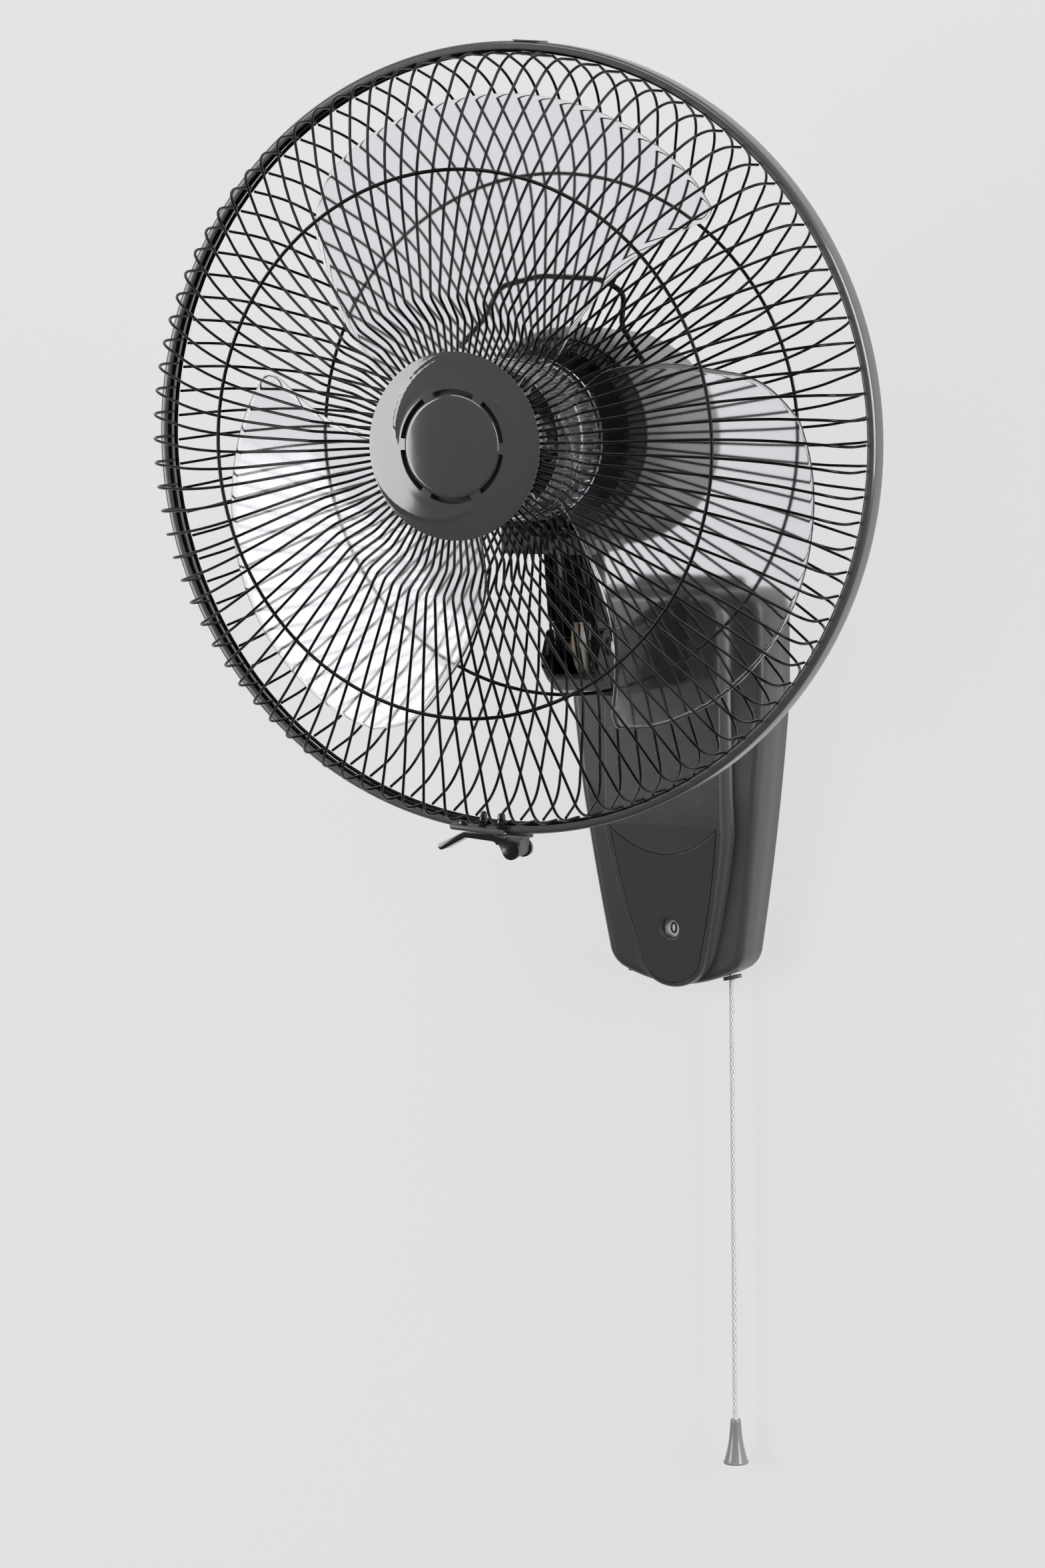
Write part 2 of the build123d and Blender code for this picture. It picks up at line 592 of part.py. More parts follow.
with BuildPart() as tilt_nut:
    with BuildSketch(tilt_at.offset(-cheek_half - seat - 4)):
        RegularPolygon(5.5, 6)
        Circle(pin_r + 0.02, mode=Mode.SUBTRACT)
    extrude(amount=4)

with BuildPart() as tilt_spacer:
    half = ear_out - ear - gap
    with BuildSketch(tilt_at.offset(-half)):
        Circle(pin_r + 1.5)
        Circle(pin_r + seat, mode=Mode.SUBTRACT)
    extrude(amount=2 * half)


# Two insulated leads run down through the open fork and lie on the arm's floor.
lead_r = 2.3
lead_floor = arm_bottom + 4 + lead_r + seat


def lead(x):
    return [(x, y - reach, z) for y, z in ((83, 116), (82, 98), (88, 84), (108, lead_floor), (126, lead_floor))]


with BuildPart() as lead_cream:
    with BuildLine() as lead_path:
        FilletPolyline(*lead(0.0), radius=[9, 9, 12])
    with BuildSketch(Plane(origin=lead_path.line @ 0, z_dir=lead_path.line % 0)):
        RegularPolygon(lead_r, 6)
    sweep(path=lead_path.line)

with BuildPart() as lead_white:
    with BuildLine() as lead_path:
        FilletPolyline(*lead(5.6), radius=[9, 9, 12])
    with BuildSketch(Plane(origin=lead_path.line @ 0, z_dir=lead_path.line % 0)):
        RegularPolygon(lead_r, 6)
    sweep(path=lead_path.line)

# ================================================================ base
# Outline of the housing: flat top, round shoulders, tapered sides, a shallow keel.
def outline(inset):
    with BuildLine() as edge:
        w, v, t, d = base_half - inset, base_half_low - inset, base_top - inset, base_bottom + inset
        Line((0, t), (w - 14, t))
        ThreePointArc((w - 14, t), (w - 4, t - 4), (w, t - 14))
        Line((w, t - 14), (w, 60))
        ThreePointArc((w, 60), (w - 7, -10), (v, -95))
        ThreePointArc((v, -95), (v - 2.6, -103), (v - 9, keel_z + 0.8 * inset))
        ThreePointArc((v - 9, keel_z + 0.8 * inset), (v - 27, keel_z - 6.8 + inset), (0, d))
        mirror(about=Plane.YZ)
    return edge


# Everything in front of the housing's own face, moved by an amount along Y.
def face_profile(move):
    with BuildLine() as line:
        Polyline((-70, base_top + 9), (face_top_y + move, base_top + 9), (face_mid_y + move, 0),
                 (face_low_y + move, base_bottom - 9), (-70, base_bottom - 9), close=True)
    return line


# The same for the raised panel, which stands proud of that face.
def panel_profile(move):
    with BuildLine() as line:
        Polyline((-70, base_top + 9), (panel_y + move, base_top + 9), (panel_y + move, -18),
                 (panel_low_y + move, base_bottom), (-70, base_bottom), close=True)
    return line


cut_side = Plane(origin=(-80, 0, 0), x_dir=(0, 1, 0), z_dir=(1, 0, 0))
arm_y = arm_root - reach - flange_t - seat
arm_hole = (2 * (cheek_half + seat), arm_top - arm_bottom + 2 * seat)
arm_mid = (arm_top + arm_bottom) / 2
bosses = [(-46, 98), (46, 98), (-36, -84), (36, -84)]
drum_y = -22.5

with BuildPart() as base_cavity:
    with BuildSketch(base_at(1)):
        add(outline(base_wall).line)
        make_face()
    extrude(amount=60)
    with BuildSketch(cut_side):
        add(face_profile(base_wall).line)
        make_face()
    extrude(amount=160, mode=Mode.SUBTRACT)

with BuildPart() as base_shell:
    with BuildSketch(base_at(0)):
        add(outline(0).line)
        make_face()
    extrude(amount=60)
    with BuildSketch(cut_side):
        add(face_profile(0).line)
        make_face()
    extrude(amount=160, mode=Mode.SUBTRACT)
    chamfer(base_shell.faces().sort_by(Axis.Y)[:2].edges().filter_by(lambda e: abs(e.center().X) > 1 or e.center().Z > 60),
            shell_edge)
    add(base_cavity.part, mode=Mode.SUBTRACT)
    with BuildSketch(base_at(back_y - back_t - seat)):
        with Locations(*bosses):
            Rectangle(8, 8)
    extrude(until=Until.NEXT)
    with BuildSketch(base_at(back_y)):
        with Locations(*bosses):
            Circle(1.3)
    extrude(amount=16, mode=Mode.SUBTRACT)
    with BuildSketch(base_at(0)):
        with Locations((0, arm_mid)):
            Rectangle(*arm_hole)
        with Locations((0, window_z)):
            Rectangle(drum_len + 4, 2 * drum_r + 4)
    extrude(amount=60, mode=Mode.SUBTRACT)
    with BuildSketch(base_at(0)):
        with Locations((0, base_top)):
            Rectangle(2 * (plate_half + 0.3), 12)
    extrude(amount=plate_t + 0.4, mode=Mode.SUBTRACT)
    with BuildSketch(Plane.XY.offset(base_bottom)):
        with Locations((cord_x, cord_y)):
            SlotOverall(eyelet_l - 2 + 2 * seat, eyelet_w - 2 + 2 * seat)
        with Locations((-cord_x, grommet_y)):
            Circle(grommet_r + seat)
    extrude(amount=20, mode=Mode.SUBTRACT)

with BuildPart() as base_panel:
    with BuildSketch(base_at(0)):
        with BuildLine():
            Line((0, panel_top), (panel_half - 12, panel_top))
            ThreePointArc((panel_half - 12, panel_top), (panel_half - 3.5, panel_top - 3.5), (panel_half, panel_top - 12))
            Line((panel_half, panel_top - 12), (panel_half, panel_waist))
            ThreePointArc((panel_half, panel_waist), (panel_half - 6.4, -61), (panel_half - 15.5, panel_bottom + 18.5))
            ThreePointArc((panel_half - 15.5, panel_bottom + 18.5), (panel_half - 22.5, panel_bottom + 6), (0, panel_bottom))
            mirror(about=Plane.YZ)
        make_face()
    extrude(amount=62)
    with BuildSketch(cut_side):
        add(panel_profile(0).line)
        make_face()
    extrude(amount=160, mode=Mode.SUBTRACT)
    chamfer(base_panel.faces().sort_by(Axis.Y)[:2].edges().filter_by(lambda e: abs(e.center().X) > 4 or e.center().Z > 60), panel_edge)
    with BuildSketch(cut_side):
        with BuildLine():
            Polyline((1, base_top + 9), (face_top_y - seat, base_top + 9), (face_mid_y - seat, 0), (face_low_y - seat, base_bottom - 9), (1, base_bottom - 9), close=True)
        make_face()
    extrude(amount=160, mode=Mode.SUBTRACT)
    with BuildSketch(base_at(0)):
        with Locations((0, arm_mid)):
            Rectangle(*arm_hole)
    extrude(amount=70, mode=Mode.SUBTRACT)
    with BuildSketch(base_at(0)):
        with Locations((0, window_z)):
            Rectangle(drum_len + 4, 2 * drum_r + 4)
    extrude(amount=-drum_y + drum_r + 0.6, mode=Mode.SUBTRACT)
    with BuildSketch(base_at(0)):
        with Locations((0, window_z)):
            Circle(window_r + seat)
    extrude(amount=60, mode=Mode.SUBTRACT)


# Inlay: a glossy plate let into the lower half of the panel, with the window.
def inlay_outline(grow):
    with BuildLine() as line:
        w, top = inlay_half + grow, inlay_top + grow
        ThreePointArc((-w, top), (0, inlay_dip + grow), (w, top))
        tip = inlay_bottom - grow
        ThreePointArc((w, top), (w - 6, -58), (w - 15.3, tip + 18))
        ThreePointArc((w - 15.3, tip + 18), (w - 20.4, tip + 6), (0, tip))
        ThreePointArc((0, tip), (20.4 - w, tip + 6), (15.3 - w, tip + 18))
        ThreePointArc((15.3 - w, tip + 18), (6 - w, -58), (-w, top))
    return line


with BuildPart() as base_inlay:
    with BuildSketch(base_at(0)):
        add(inlay_outline(0).line)
        make_face()
        with Locations((0, window_z)):
            Circle(window_r + seat, mode=Mode.SUBTRACT)
    extrude(amount=62)
    with BuildSketch(cut_side):
        add(panel_profile(0.2).line)
        make_face()
    extrude(amount=160, mode=Mode.SUBTRACT)
    with BuildSketch(cut_side):
        with BuildLine():
            Polyline((1, base_top), (panel_y + inlay_thick, base_top), (panel_y + inlay_thick, -18),
                     (panel_low_y + inlay_thick, base_bottom), (1, base_bottom), close=True)
        make_face()
    extrude(amount=160, mode=Mode.SUBTRACT)

with BuildPart() as inlay_seat:
    with BuildSketch(base_at(0)):
        add(inlay_outline(gap).line)
        make_face()
    extrude(amount=62)
    with BuildSketch(cut_side):
        with BuildLine():
            Polyline((1, base_top), (panel_y + inlay_thick + seat, base_top), (panel_y + inlay_thick + seat, -18),
                     (panel_low_y + inlay_thick + seat, base_bottom), (1, base_bottom), close=True)
        make_face()
    extrude(amount=160, mode=Mode.SUBTRACT)
with base_panel:
    add(inlay_seat.part, mode=Mode.SUBTRACT)

window_y = panel_y + (panel_low_y - panel_y) * (-18 - window_z) / (-18 - base_bottom)
with BuildPart() as window_lens:
    with BuildSketch(base_at(window_y + 2.6)):
        with Locations((0, window_z)):
            Circle(window_r)
    extrude(amount=2.0)

# Speed drum, seen through the window, on its own stub in the pull switch.
drum_at = Plane(origin=(0, drum_y, window_z), x_dir=(0, 1, 0), z_dir=(1, 0, 0))
with BuildPart() as speed_drum:
    with BuildSketch(drum_at.offset(-drum_len / 2)):
        Circle(drum_r)
    extrude(amount=drum_len)
    with BuildSketch(drum_at.offset(drum_len / 2)):
        Circle(2)
    extrude(amount=9)
with BuildPart() as pull_switch:
    with BuildSketch(drum_at.offset(drum_len / 2 + 1)):
        with Locations((4.5, 0)):
            Rectangle(17, 24)
    extrude(amount=17)
    with BuildSketch(drum_at.offset(drum_len / 2)):
        Circle(2 + run)
    extrude(amount=10, mode=Mode.SUBTRACT)

# Pull cord with its bell, hanging through an eyelet under the housing.
eyelet_z = -111.8
with BuildPart() as cord_eyelet:
    with BuildSketch(Plane.XY.offset(eyelet_z - eyelet_h)):
        with Locations((cord_x, cord_y)):
            SlotOverall(eyelet_l - 2, eyelet_w - 2)
    extrude(amount=eyelet_h + 5)
    with BuildSketch(Plane.XY.offset(eyelet_z - eyelet_h)):
        with Locations((cord_x, cord_y)):
            SlotOverall(eyelet_l, eyelet_w)
    extrude(amount=2.4)
    with BuildSketch(Plane.XY.offset(eyelet_z - eyelet_h)):
        with Locations((cord_x, cord_y)):
            SlotOverall(eyelet_l - 5, 2 * (cord_r + gap))
    extrude(amount=eyelet_h + 5, mode=Mode.SUBTRACT)

bell_top = eyelet_z - eyelet_h - cord_drop
with BuildPart() as pull_cord:
    with BuildSketch(Plane.XY.offset(bell_top - 8)):
        with Locations((cord_x, cord_y)):
            Circle(cord_r)
    extrude(amount=cord_drop + 8 + eyelet_h + 22)
with BuildPart() as cord_stop:
    with BuildSketch(Plane.XY.offset(eyelet_z + 18.5)):
        with Locations((cord_x, cord_y)):
            Circle(3.2)
            Circle(cord_r, mode=Mode.SUBTRACT)
    extrude(amount=4)
with BuildPart() as bell_knob:
    with BuildSketch(Plane(origin=(cord_x, cord_y, bell_top), x_dir=(1, 0, 0), z_dir=(0, -1, 0))):
        with BuildLine():
            Polyline((cord_r, -8), (cord_r, 0), (bell_top_r, 0))
            ThreePointArc((bell_top_r, 0), (bell_top_r + 1.2, -bell_h * 0.5), (bell_low_r, -bell_h))
            Polyline((bell_low_r, -bell_h), (0, -bell_h), (0, -8), (cord_r, -8))
        make_face()
    revolve(axis=Axis((cord_x, cord_y, 0), (0, 0, 1)))

with BuildPart() as lead_grommet:
    with BuildSketch(Plane.XY.offset(eyelet_z - 2)):
        with Locations((-cord_x, grommet_y)):
            Circle(grommet_r)
            Circle(grommet_hole_r, mode=Mode.SUBTRACT)
    extrude(amount=7)

# Steel wall plate: four screw holes, and four hooks that carry the housing.
hooks = [(-28, 60), (28, 60), (-28, -50), (28, -50)]
with BuildPart() as wall_plate:
    with BuildSketch(base_at(0)):
        with Locations((0, (plate_top + plate_bottom) / 2)):
            RectangleRounded(2 * plate_half, plate_top - plate_bottom, 5)
        with Locations((0, 8)):
            Rectangle(34, 96, mode=Mode.SUBTRACT)
        with GridLocations(screw_dx, screw_dz, 2, 2):
            Circle(screw_hole_r, mode=Mode.SUBTRACT)
    extrude(amount=plate_t)
    with BuildSketch(base_at(-plate_t)):
        with Locations(*hooks):
            Rectangle(10, plate_t)
    extrude(amount=-back_y + back_t + seat)
    with BuildSketch(base_at(back_y - back_t - seat)):
        with Locations(*[(x, z + 2) for x, z in hooks]):
            Rectangle(10, plate_t + 4)
    extrude(amount=plate_t)

with BuildPart() as base_back:
    with BuildSketch(base_at(back_y)):
        add(outline(base_wall + seat).line)
        make_face()
        with Locations(*hooks):
            Rectangle(11, plate_t + 0.2, mode=Mode.SUBTRACT)
        with Locations(*bosses):
            Circle(1.7, mode=Mode.SUBTRACT)
    extrude(amount=back_t)

with BuildPart() as case_screws:
    with BuildSketch(base_at(back_y + 1.4)):
        with Locations(*bosses):
            RegularPolygon(3, 6)
    extrude(amount=1.4 - seat)
    with BuildSketch(base_at(back_y + 0.1)):
        with Locations(*bosses):
            RegularPolygon(1.28, 6)
    extrude(amount=12)

with BuildPart() as capacitor:
    with BuildSketch(base_at(back_y - back_t - seat)):
        with Locations((-26, 28)):
            Rectangle(37, 24)
    extrude(amount=14)

# ================================================================ output
ring_band.part.label = "ring_band"
export_step(ring_band.part, "parts/ring_band.step")
front_guard.part.label = "front_guard"
export_step(front_guard.part, "parts/front_guard.step")
front_rim_hoop.part.label = "front_rim_hoop"
export_step(front_rim_hoop.part, "parts/front_rim_hoop.step")
front_mid_hoop.part.label = "front_mid_hoop"
export_step(front_mid_hoop.part, "parts/front_mid_hoop.step")
rear_rim_hoop.part.label = "rear_rim_hoop"
export_step(rear_rim_hoop.part, "parts/rear_rim_hoop.step")
rear_mid_hoop.part.label = "rear_mid_hoop"
export_step(rear_mid_hoop.part, "parts/rear_mid_hoop.step")
badge.part.label = "badge"
export_step(badge.part, "parts/badge.step")
rear_guard.part.label = "rear_guard"
export_step(rear_guard.part, "parts/rear_guard.step")
guard_handle.part.label = "guard_handle"
export_step(guard_handle.part, "parts/guard_handle.step")
top_clip.part.label = "top_clip"
export_step(top_clip.part, "parts/top_clip.step")
latch_lip.part.label = "latch_lip"
export_step(latch_lip.part, "parts/latch_lip.step")
latch_bracket.part.label = "latch_bracket"
export_step(latch_bracket.part, "parts/latch_bracket.step")
latch_pin.part.label = "latch_pin"
export_step(latch_pin.part, "parts/latch_pin.step")
latch_lever.part.label = "latch_lever"
export_step(latch_lever.part, "parts/latch_lever.step")
motor_front_cover.part.label = "motor_front_cover"
export_step(motor_front_cover.part, "parts/motor_front_cover.step")
motor_rear_cover.part.label = "motor_rear_cover"
export_step(motor_rear_cover.part, "parts/motor_rear_cover.step")
gearbox_case.part.label = "gearbox_case"
export_step(gearbox_case.part, "parts/gearbox_case.step")
stator.part.label = "stator"
export_step(stator.part, "parts/stator.step")
bearings.part.label = "bearings"
export_step(bearings.part, "parts/bearings.step")
bearing_bridge.part.label = "bearing_bridge"
export_step(bearing_bridge.part, "parts/bearing_bridge.step")
guard_nut.part.label = "guard_nut"
export_step(guard_nut.part, "parts/guard_nut.step")
blade.part.label = "blade"
export_step(blade.part, "parts/blade.step")
drive_pin.part.label = "drive_pin"
export_step(drive_pin.part, "parts/drive_pin.step")
shaft.part.label = "shaft"
export_step(shaft.part, "parts/shaft.step")
rotor.part.label = "rotor"
export_step(rotor.part, "parts/rotor.step")
spinner.part.label = "spinner"
export_step(spinner.part, "parts/spinner.step")
neck_post.part.label = "neck_post"
export_step(neck_post.part, "parts/neck_post.step")
pan_spindle.part.label = "pan_spindle"
export_step(pan_spindle.part, "parts/pan_spindle.step")
neck_arm.part.label = "neck_arm"
export_step(neck_arm.part, "parts/neck_arm.step")
tilt_pin.part.label = "tilt_pin"
export_step(tilt_pin.part, "parts/tilt_pin.step")
tilt_nut.part.label = "tilt_nut"
export_step(tilt_nut.part, "parts/tilt_nut.step")
tilt_spacer.part.label = "tilt_spacer"
export_step(tilt_spacer.part, "parts/tilt_spacer.step")
lead_cream.part.label = "lead_cream"
export_step(lead_cream.part, "parts/lead_cream.step")
lead_white.part.label = "lead_white"
export_step(lead_white.part, "parts/lead_white.step")
base_shell.part.label = "base_shell"
export_step(base_shell.part, "parts/base_shell.step")
base_panel.part.label = "base_panel"
export_step(base_panel.part, "parts/base_panel.step")
base_inlay.part.label = "base_inlay"
export_step(base_inlay.part, "parts/base_inlay.step")
window_lens.part.label = "window_lens"
export_step(window_lens.part, "parts/window_lens.step")
speed_drum.part.label = "speed_drum"
export_step(speed_drum.part, "parts/speed_drum.step")
pull_switch.part.label = "pull_switch"
export_step(pull_switch.part, "parts/pull_switch.step")
cord_eyelet.part.label = "cord_eyelet"
export_step(cord_eyelet.part, "parts/cord_eyelet.step")
pull_cord.part.label = "pull_cord"
export_step(pull_cord.part, "parts/pull_cord.step")
cord_stop.part.label = "cord_stop"
export_step(cord_stop.part, "parts/cord_stop.step")
bell_knob.part.label = "bell_knob"
export_step(bell_knob.part, "parts/bell_knob.step")
lead_grommet.part.label = "lead_grommet"
export_step(lead_grommet.part, "parts/lead_grommet.step")
wall_plate.part.label = "wall_plate"
export_step(wall_plate.part, "parts/wall_plate.step")
base_back.part.label = "base_back"
export_step(base_back.part, "parts/base_back.step")
case_screws.part.label = "case_screws"
export_step(case_screws.part, "parts/case_screws.step")
capacitor.part.label = "capacitor"
export_step(capacitor.part, "parts/capacitor.step")
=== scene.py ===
import json
from math import atan2, cos, degrees, hypot, pi, radians, sin

import bmesh
import bpy
from mathutils import Matrix, Vector


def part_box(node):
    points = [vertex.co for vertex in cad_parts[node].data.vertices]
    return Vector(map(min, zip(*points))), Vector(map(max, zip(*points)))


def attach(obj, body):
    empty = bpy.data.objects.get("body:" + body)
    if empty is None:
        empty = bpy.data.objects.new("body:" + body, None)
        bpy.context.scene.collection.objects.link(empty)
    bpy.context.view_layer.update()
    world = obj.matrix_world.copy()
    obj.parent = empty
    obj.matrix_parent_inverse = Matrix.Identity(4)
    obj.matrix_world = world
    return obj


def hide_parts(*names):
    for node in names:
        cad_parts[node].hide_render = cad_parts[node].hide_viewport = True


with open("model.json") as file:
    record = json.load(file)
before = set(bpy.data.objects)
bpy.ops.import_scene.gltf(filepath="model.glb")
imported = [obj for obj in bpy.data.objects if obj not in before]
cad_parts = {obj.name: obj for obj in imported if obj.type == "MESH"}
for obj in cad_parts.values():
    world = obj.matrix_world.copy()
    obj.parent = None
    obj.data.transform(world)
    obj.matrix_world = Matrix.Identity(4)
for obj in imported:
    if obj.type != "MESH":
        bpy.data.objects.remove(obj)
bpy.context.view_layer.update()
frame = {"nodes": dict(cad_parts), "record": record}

# Wall mounted fan. Shapes are drawn in millimetres in one of two places: round the
# centre of the guard's ring (head_at), or round the middle of the wall screws
# (wall_at). In both, +X is right, +Y runs into the wall and +Z is up.
MM = 0.001
ring_low, ring_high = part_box("ring_band")
reach = -(ring_low.y + ring_high.y) / 2 / MM      # wall to the ring's plane
rise = (ring_low.z + ring_high.z) / 2 / MM        # wall screws' middle to the fan's axis
ring_r = (ring_high.z - ring_low.z) / 2 / MM
wall_at = Matrix.Scale(MM, 4)
head_at = Matrix.Translation((0, -reach * MM, rise * MM)) @ wall_at
FAN_AXIS = (0, 1, 0)


# ---------------------------------------------------------------- camera
# The lens and the stand point that the photograph was taken from.
def set_camera():
    round_by, down_by, leaning = radians(25.37), radians(6.32), radians(0.74)
    photo_height, focal_px = 2352, 7740
    film = 24.0                 # millimetres high
    right = Vector((cos(round_by), sin(round_by), 0))
    back = Vector((sin(round_by) * cos(down_by), -cos(round_by) * cos(down_by), sin(down_by)))
    up = back.cross(right)
    across = right * cos(leaning) - up * sin(leaning)
    upward = right * sin(leaning) + up * cos(leaning)
    stand = head_at @ Vector((1235.28, -2595.71, 125.87))     # from the ring's centre
    data = bpy.data.cameras.new("camera")
    data.sensor_fit = "VERTICAL"
    data.sensor_height = film
    data.lens = focal_px / photo_height * film
    data.clip_end = 30
    camera = bpy.data.objects.new("camera", data)
    bpy.context.scene.collection.objects.link(camera)
    camera.matrix_world = Matrix.Translation(stand) @ Matrix((across, upward, back)).transposed().to_4x4()
    bpy.context.scene.camera = camera


set_camera()


# ---------------------------------------------------------------- finishes
class Field:
    """A value or colour that varies over a material, with plain arithmetic."""

    def __init__(self, finish, socket):
        self.finish = finish
        self.socket = socket

    def _with(self, operation, *values):
        return self.finish.add("ShaderNodeMath", {"operation": operation}, dict(enumerate(values)))

    def __add__(self, other):
        return self._with("ADD", self, other)

    def __radd__(self, other):
        return self._with("ADD", other, self)

    def __sub__(self, other):
        return self._with("SUBTRACT", self, other)

    def __rsub__(self, other):
        return self._with("SUBTRACT", other, self)

    def __mul__(self, other):
        return self._with("MULTIPLY", self, other)

    def __rmul__(self, other):
        return self._with("MULTIPLY", other, self)

    def __abs__(self):
        return self._with("ABSOLUTE", self)

    def between(self, low, high):
        """0 below low, 1 above high, and smooth from one to the other."""
        inputs = {0: self, 1: low, 2: high}
        return self.finish.add("ShaderNodeMapRange", {"interpolation_type": "SMOOTHSTEP"}, inputs)

    def wave(self):
        return self._with("SINE", self)


class Finish:
    """A material on one shader. Its fields vary over the surface in metres."""

    def __init__(self, name, **plain):
        self.material = bpy.data.materials.new(name)
        self.material.use_nodes = True
        self.tree = self.material.node_tree
        self.shader = self.tree.nodes["Principled BSDF"]
        for key, value in plain.items():
            socket = key.replace("_", " ").title().replace("Ior", "IOR")
            self.shader.inputs[socket].default_value = value
        self._place = None

    def add(self, kind, settings=None, inputs=None, output=0):
        node = self.tree.nodes.new(kind)
        for key, value in (settings or {}).items():
            setattr(node, key, value)
        for key, value in (inputs or {}).items():
            self.feed(node.inputs[key], value)
        return Field(self, node.outputs[output])

    def feed(self, socket, value):
        if isinstance(value, Field):
            self.tree.links.new(value.socket, socket)
        else:
            socket.default_value = value

    @property
    def place(self):
        if self._place is None:
            self._place = self.add("ShaderNodeTexCoord", output="Object")
        return self._place

    def axes(self, place=None):
        node = self.tree.nodes.new("ShaderNodeSeparateXYZ")
        self.feed(node.inputs[0], place or self.place)
        return [Field(self, out) for out in node.outputs]

    def grain(self, size, detail=3.0, rough=0.55, place=None):
        """Soft noise with features of about a size, in millimetres."""
        inputs = {"Vector": place or self.place, "Scale": 1 / (size * MM), "Detail": detail,
                  "Roughness": rough}
        return self.add("ShaderNodeTexNoise", {}, inputs)

    def blend(self, factor, one, other):
        """A colour mixed from two others. The mix node's colour sockets have these numbers."""
        node = self.tree.nodes.new("ShaderNodeMix")
        node.data_type = "RGBA"
        for number, value in ((0, factor), (6, one), (7, other)):
            self.feed(node.inputs[number], value)
        return Field(self, node.outputs[2])

    def colour(self, value):
        self.feed(self.shader.inputs["Base Color"], value)

    def rough(self, value):
        self.feed(self.shader.inputs["Roughness"], value)

    def relief(self, height, depth, strength=1.0):
        """Raises the surface by a field times a depth, in millimetres."""
        inputs = {"Height": height, "Distance": depth * MM, "Strength": strength}
        self.feed(self.shader.inputs["Normal"], self.add("ShaderNodeBump", {}, inputs))
        return self


NEUTRAL = (1.0, 1.0, 1.0)
WARM = (1.0, 1.0, 0.98)


def grey(level, tint=NEUTRAL):
    return tuple(level * t for t in tint) + (1.0,)


def moulded(name, level, shine, texture=0.35, depth=0.03, tint=NEUTRAL, **plain):
    """Moulded plastic: fine spark-eroded texture, with faint clouding of colour and shine."""
    finish = Finish(name, **plain)
    cloud = finish.grain(38)
    fine = finish.grain(texture, 2.0)
    wear = finish.grain(5, 4.0)
    finish.colour(finish.blend(cloud, grey(level * 0.93, tint), grey(level * 1.07, tint)))
    finish.rough(shine + (wear - 0.5) * 0.10 + (fine - 0.5) * 0.06)
    return finish.relief(fine, depth, 0.6)


def polished(name, level, shine, tint=NEUTRAL):
    """Glossy plastic: slight flow of the melt, hairline marks and a clear top skin."""
    finish = Finish(name, coat_weight=0.35, coat_roughness=0.06)
    cloud = finish.grain(55)
    marks = finish.grain(1.6, 6.0, 0.7)
    flow = finish.grain(9, 1.0)
    finish.colour(finish.blend(cloud, grey(level * 0.94, tint), grey(level * 1.06, tint)))
    finish.rough(shine + marks.between(0.55, 0.75) * 0.10)
    return finish.relief(flow, 0.05, 0.5)


def coated_wire(name):
    """Gloss black coating: slightly uneven where it ran, and dulled here and there by dust."""
    finish = Finish(name, specular_ior_level=0.16)
    skin = finish.grain(2.2, 3.0)
    dust = finish.grain(14, 4.0)
    finish.colour(finish.blend(dust.between(0.35, 0.75), grey(0.0025), grey(0.006)))
    finish.rough(0.09 + skin * 0.05 + dust * 0.04)
    return finish.relief(skin, 0.05, 0.4)


def clear_plastic(name, tint):
    """Clear styrene: even gloss, a little haze and the slow waves of its moulding."""
    finish = Finish(name, transmission_weight=1.0, ior=1.34, specular_ior_level=0.5)
    haze = finish.grain(70, 1.0)
    finish.colour(finish.blend(haze, grey(0.96, tint), grey(1.0, tint)))
    finish.rough(0.07 + haze * 0.02)
    return finish.relief(finish.grain(60, 0.0), 0.05, 0.4)


def window_plastic(name):
    """Thin clear window: nearly all see-through, so that the drum behind it stays lit."""
    finish = Finish(name, specular_ior_level=0.3, alpha=0.06)
    haze = finish.grain(6, 2.0)
    finish.colour(finish.blend(haze, grey(0.16), grey(0.22)))
    finish.rough(0.06 + haze * 0.05)
    return finish.relief(haze, 0.01, 0.3)


def metal(name, level, shine, tint=NEUTRAL):
    """Bare metal, with marks drawn out square to Y."""
    finish = Finish(name, metallic=1.0)
    x, y, z = finish.axes()
    stretched = finish.add("ShaderNodeCombineXYZ", {}, {0: x, 1: y * 9.0, 2: z})
    brushed = finish.grain(4, 4.0, 0.7, stretched)
    finish.colour(finish.blend(brushed, grey(level * 0.85, tint), grey(level, tint)))
    finish.rough(shine + brushed * 0.18)
    return finish.relief(brushed, 0.02, 0.4)


cord_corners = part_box("pull_cord")
cord = (cord_corners[0] + cord_corners[1]) / 2      # the line that the pull cord hangs on


def braided(name):
    """Strands that cross round the cord in both directions, with painted shade in the soft fibre between
    them.
    """
    strands_each_way, lay = 3, 9.0
    finish = Finish(name, sheen_weight=0.25)
    x, y, z = finish.axes()
    turn = finish.add("ShaderNodeMath", {"operation": "ARCTAN2"}, {0: y - cord.y, 1: x - cord.x})
    climb = z * (2 * pi / (lay * MM))
    right_lay = (turn * strands_each_way + climb).wave()
    left_lay = (turn * strands_each_way - climb).wave()
    strands = abs(right_lay) * abs(left_lay)
    fibre = finish.grain(0.5, 3.0)
    # The hollow colour is painted shade: the fibre between the strands is drawn darker, where the strands
    # shade it.
    hollow, crown = grey(0.42, WARM), grey(0.86, (1, 1, 0.985))
    finish.colour(finish.blend(strands.between(0.02, 0.35), hollow, crown))
    finish.rough(0.75 + fibre * 0.2)
    return finish.relief(strands.between(0.0, 0.7) + fibre * 0.25, 0.35, 0.9)


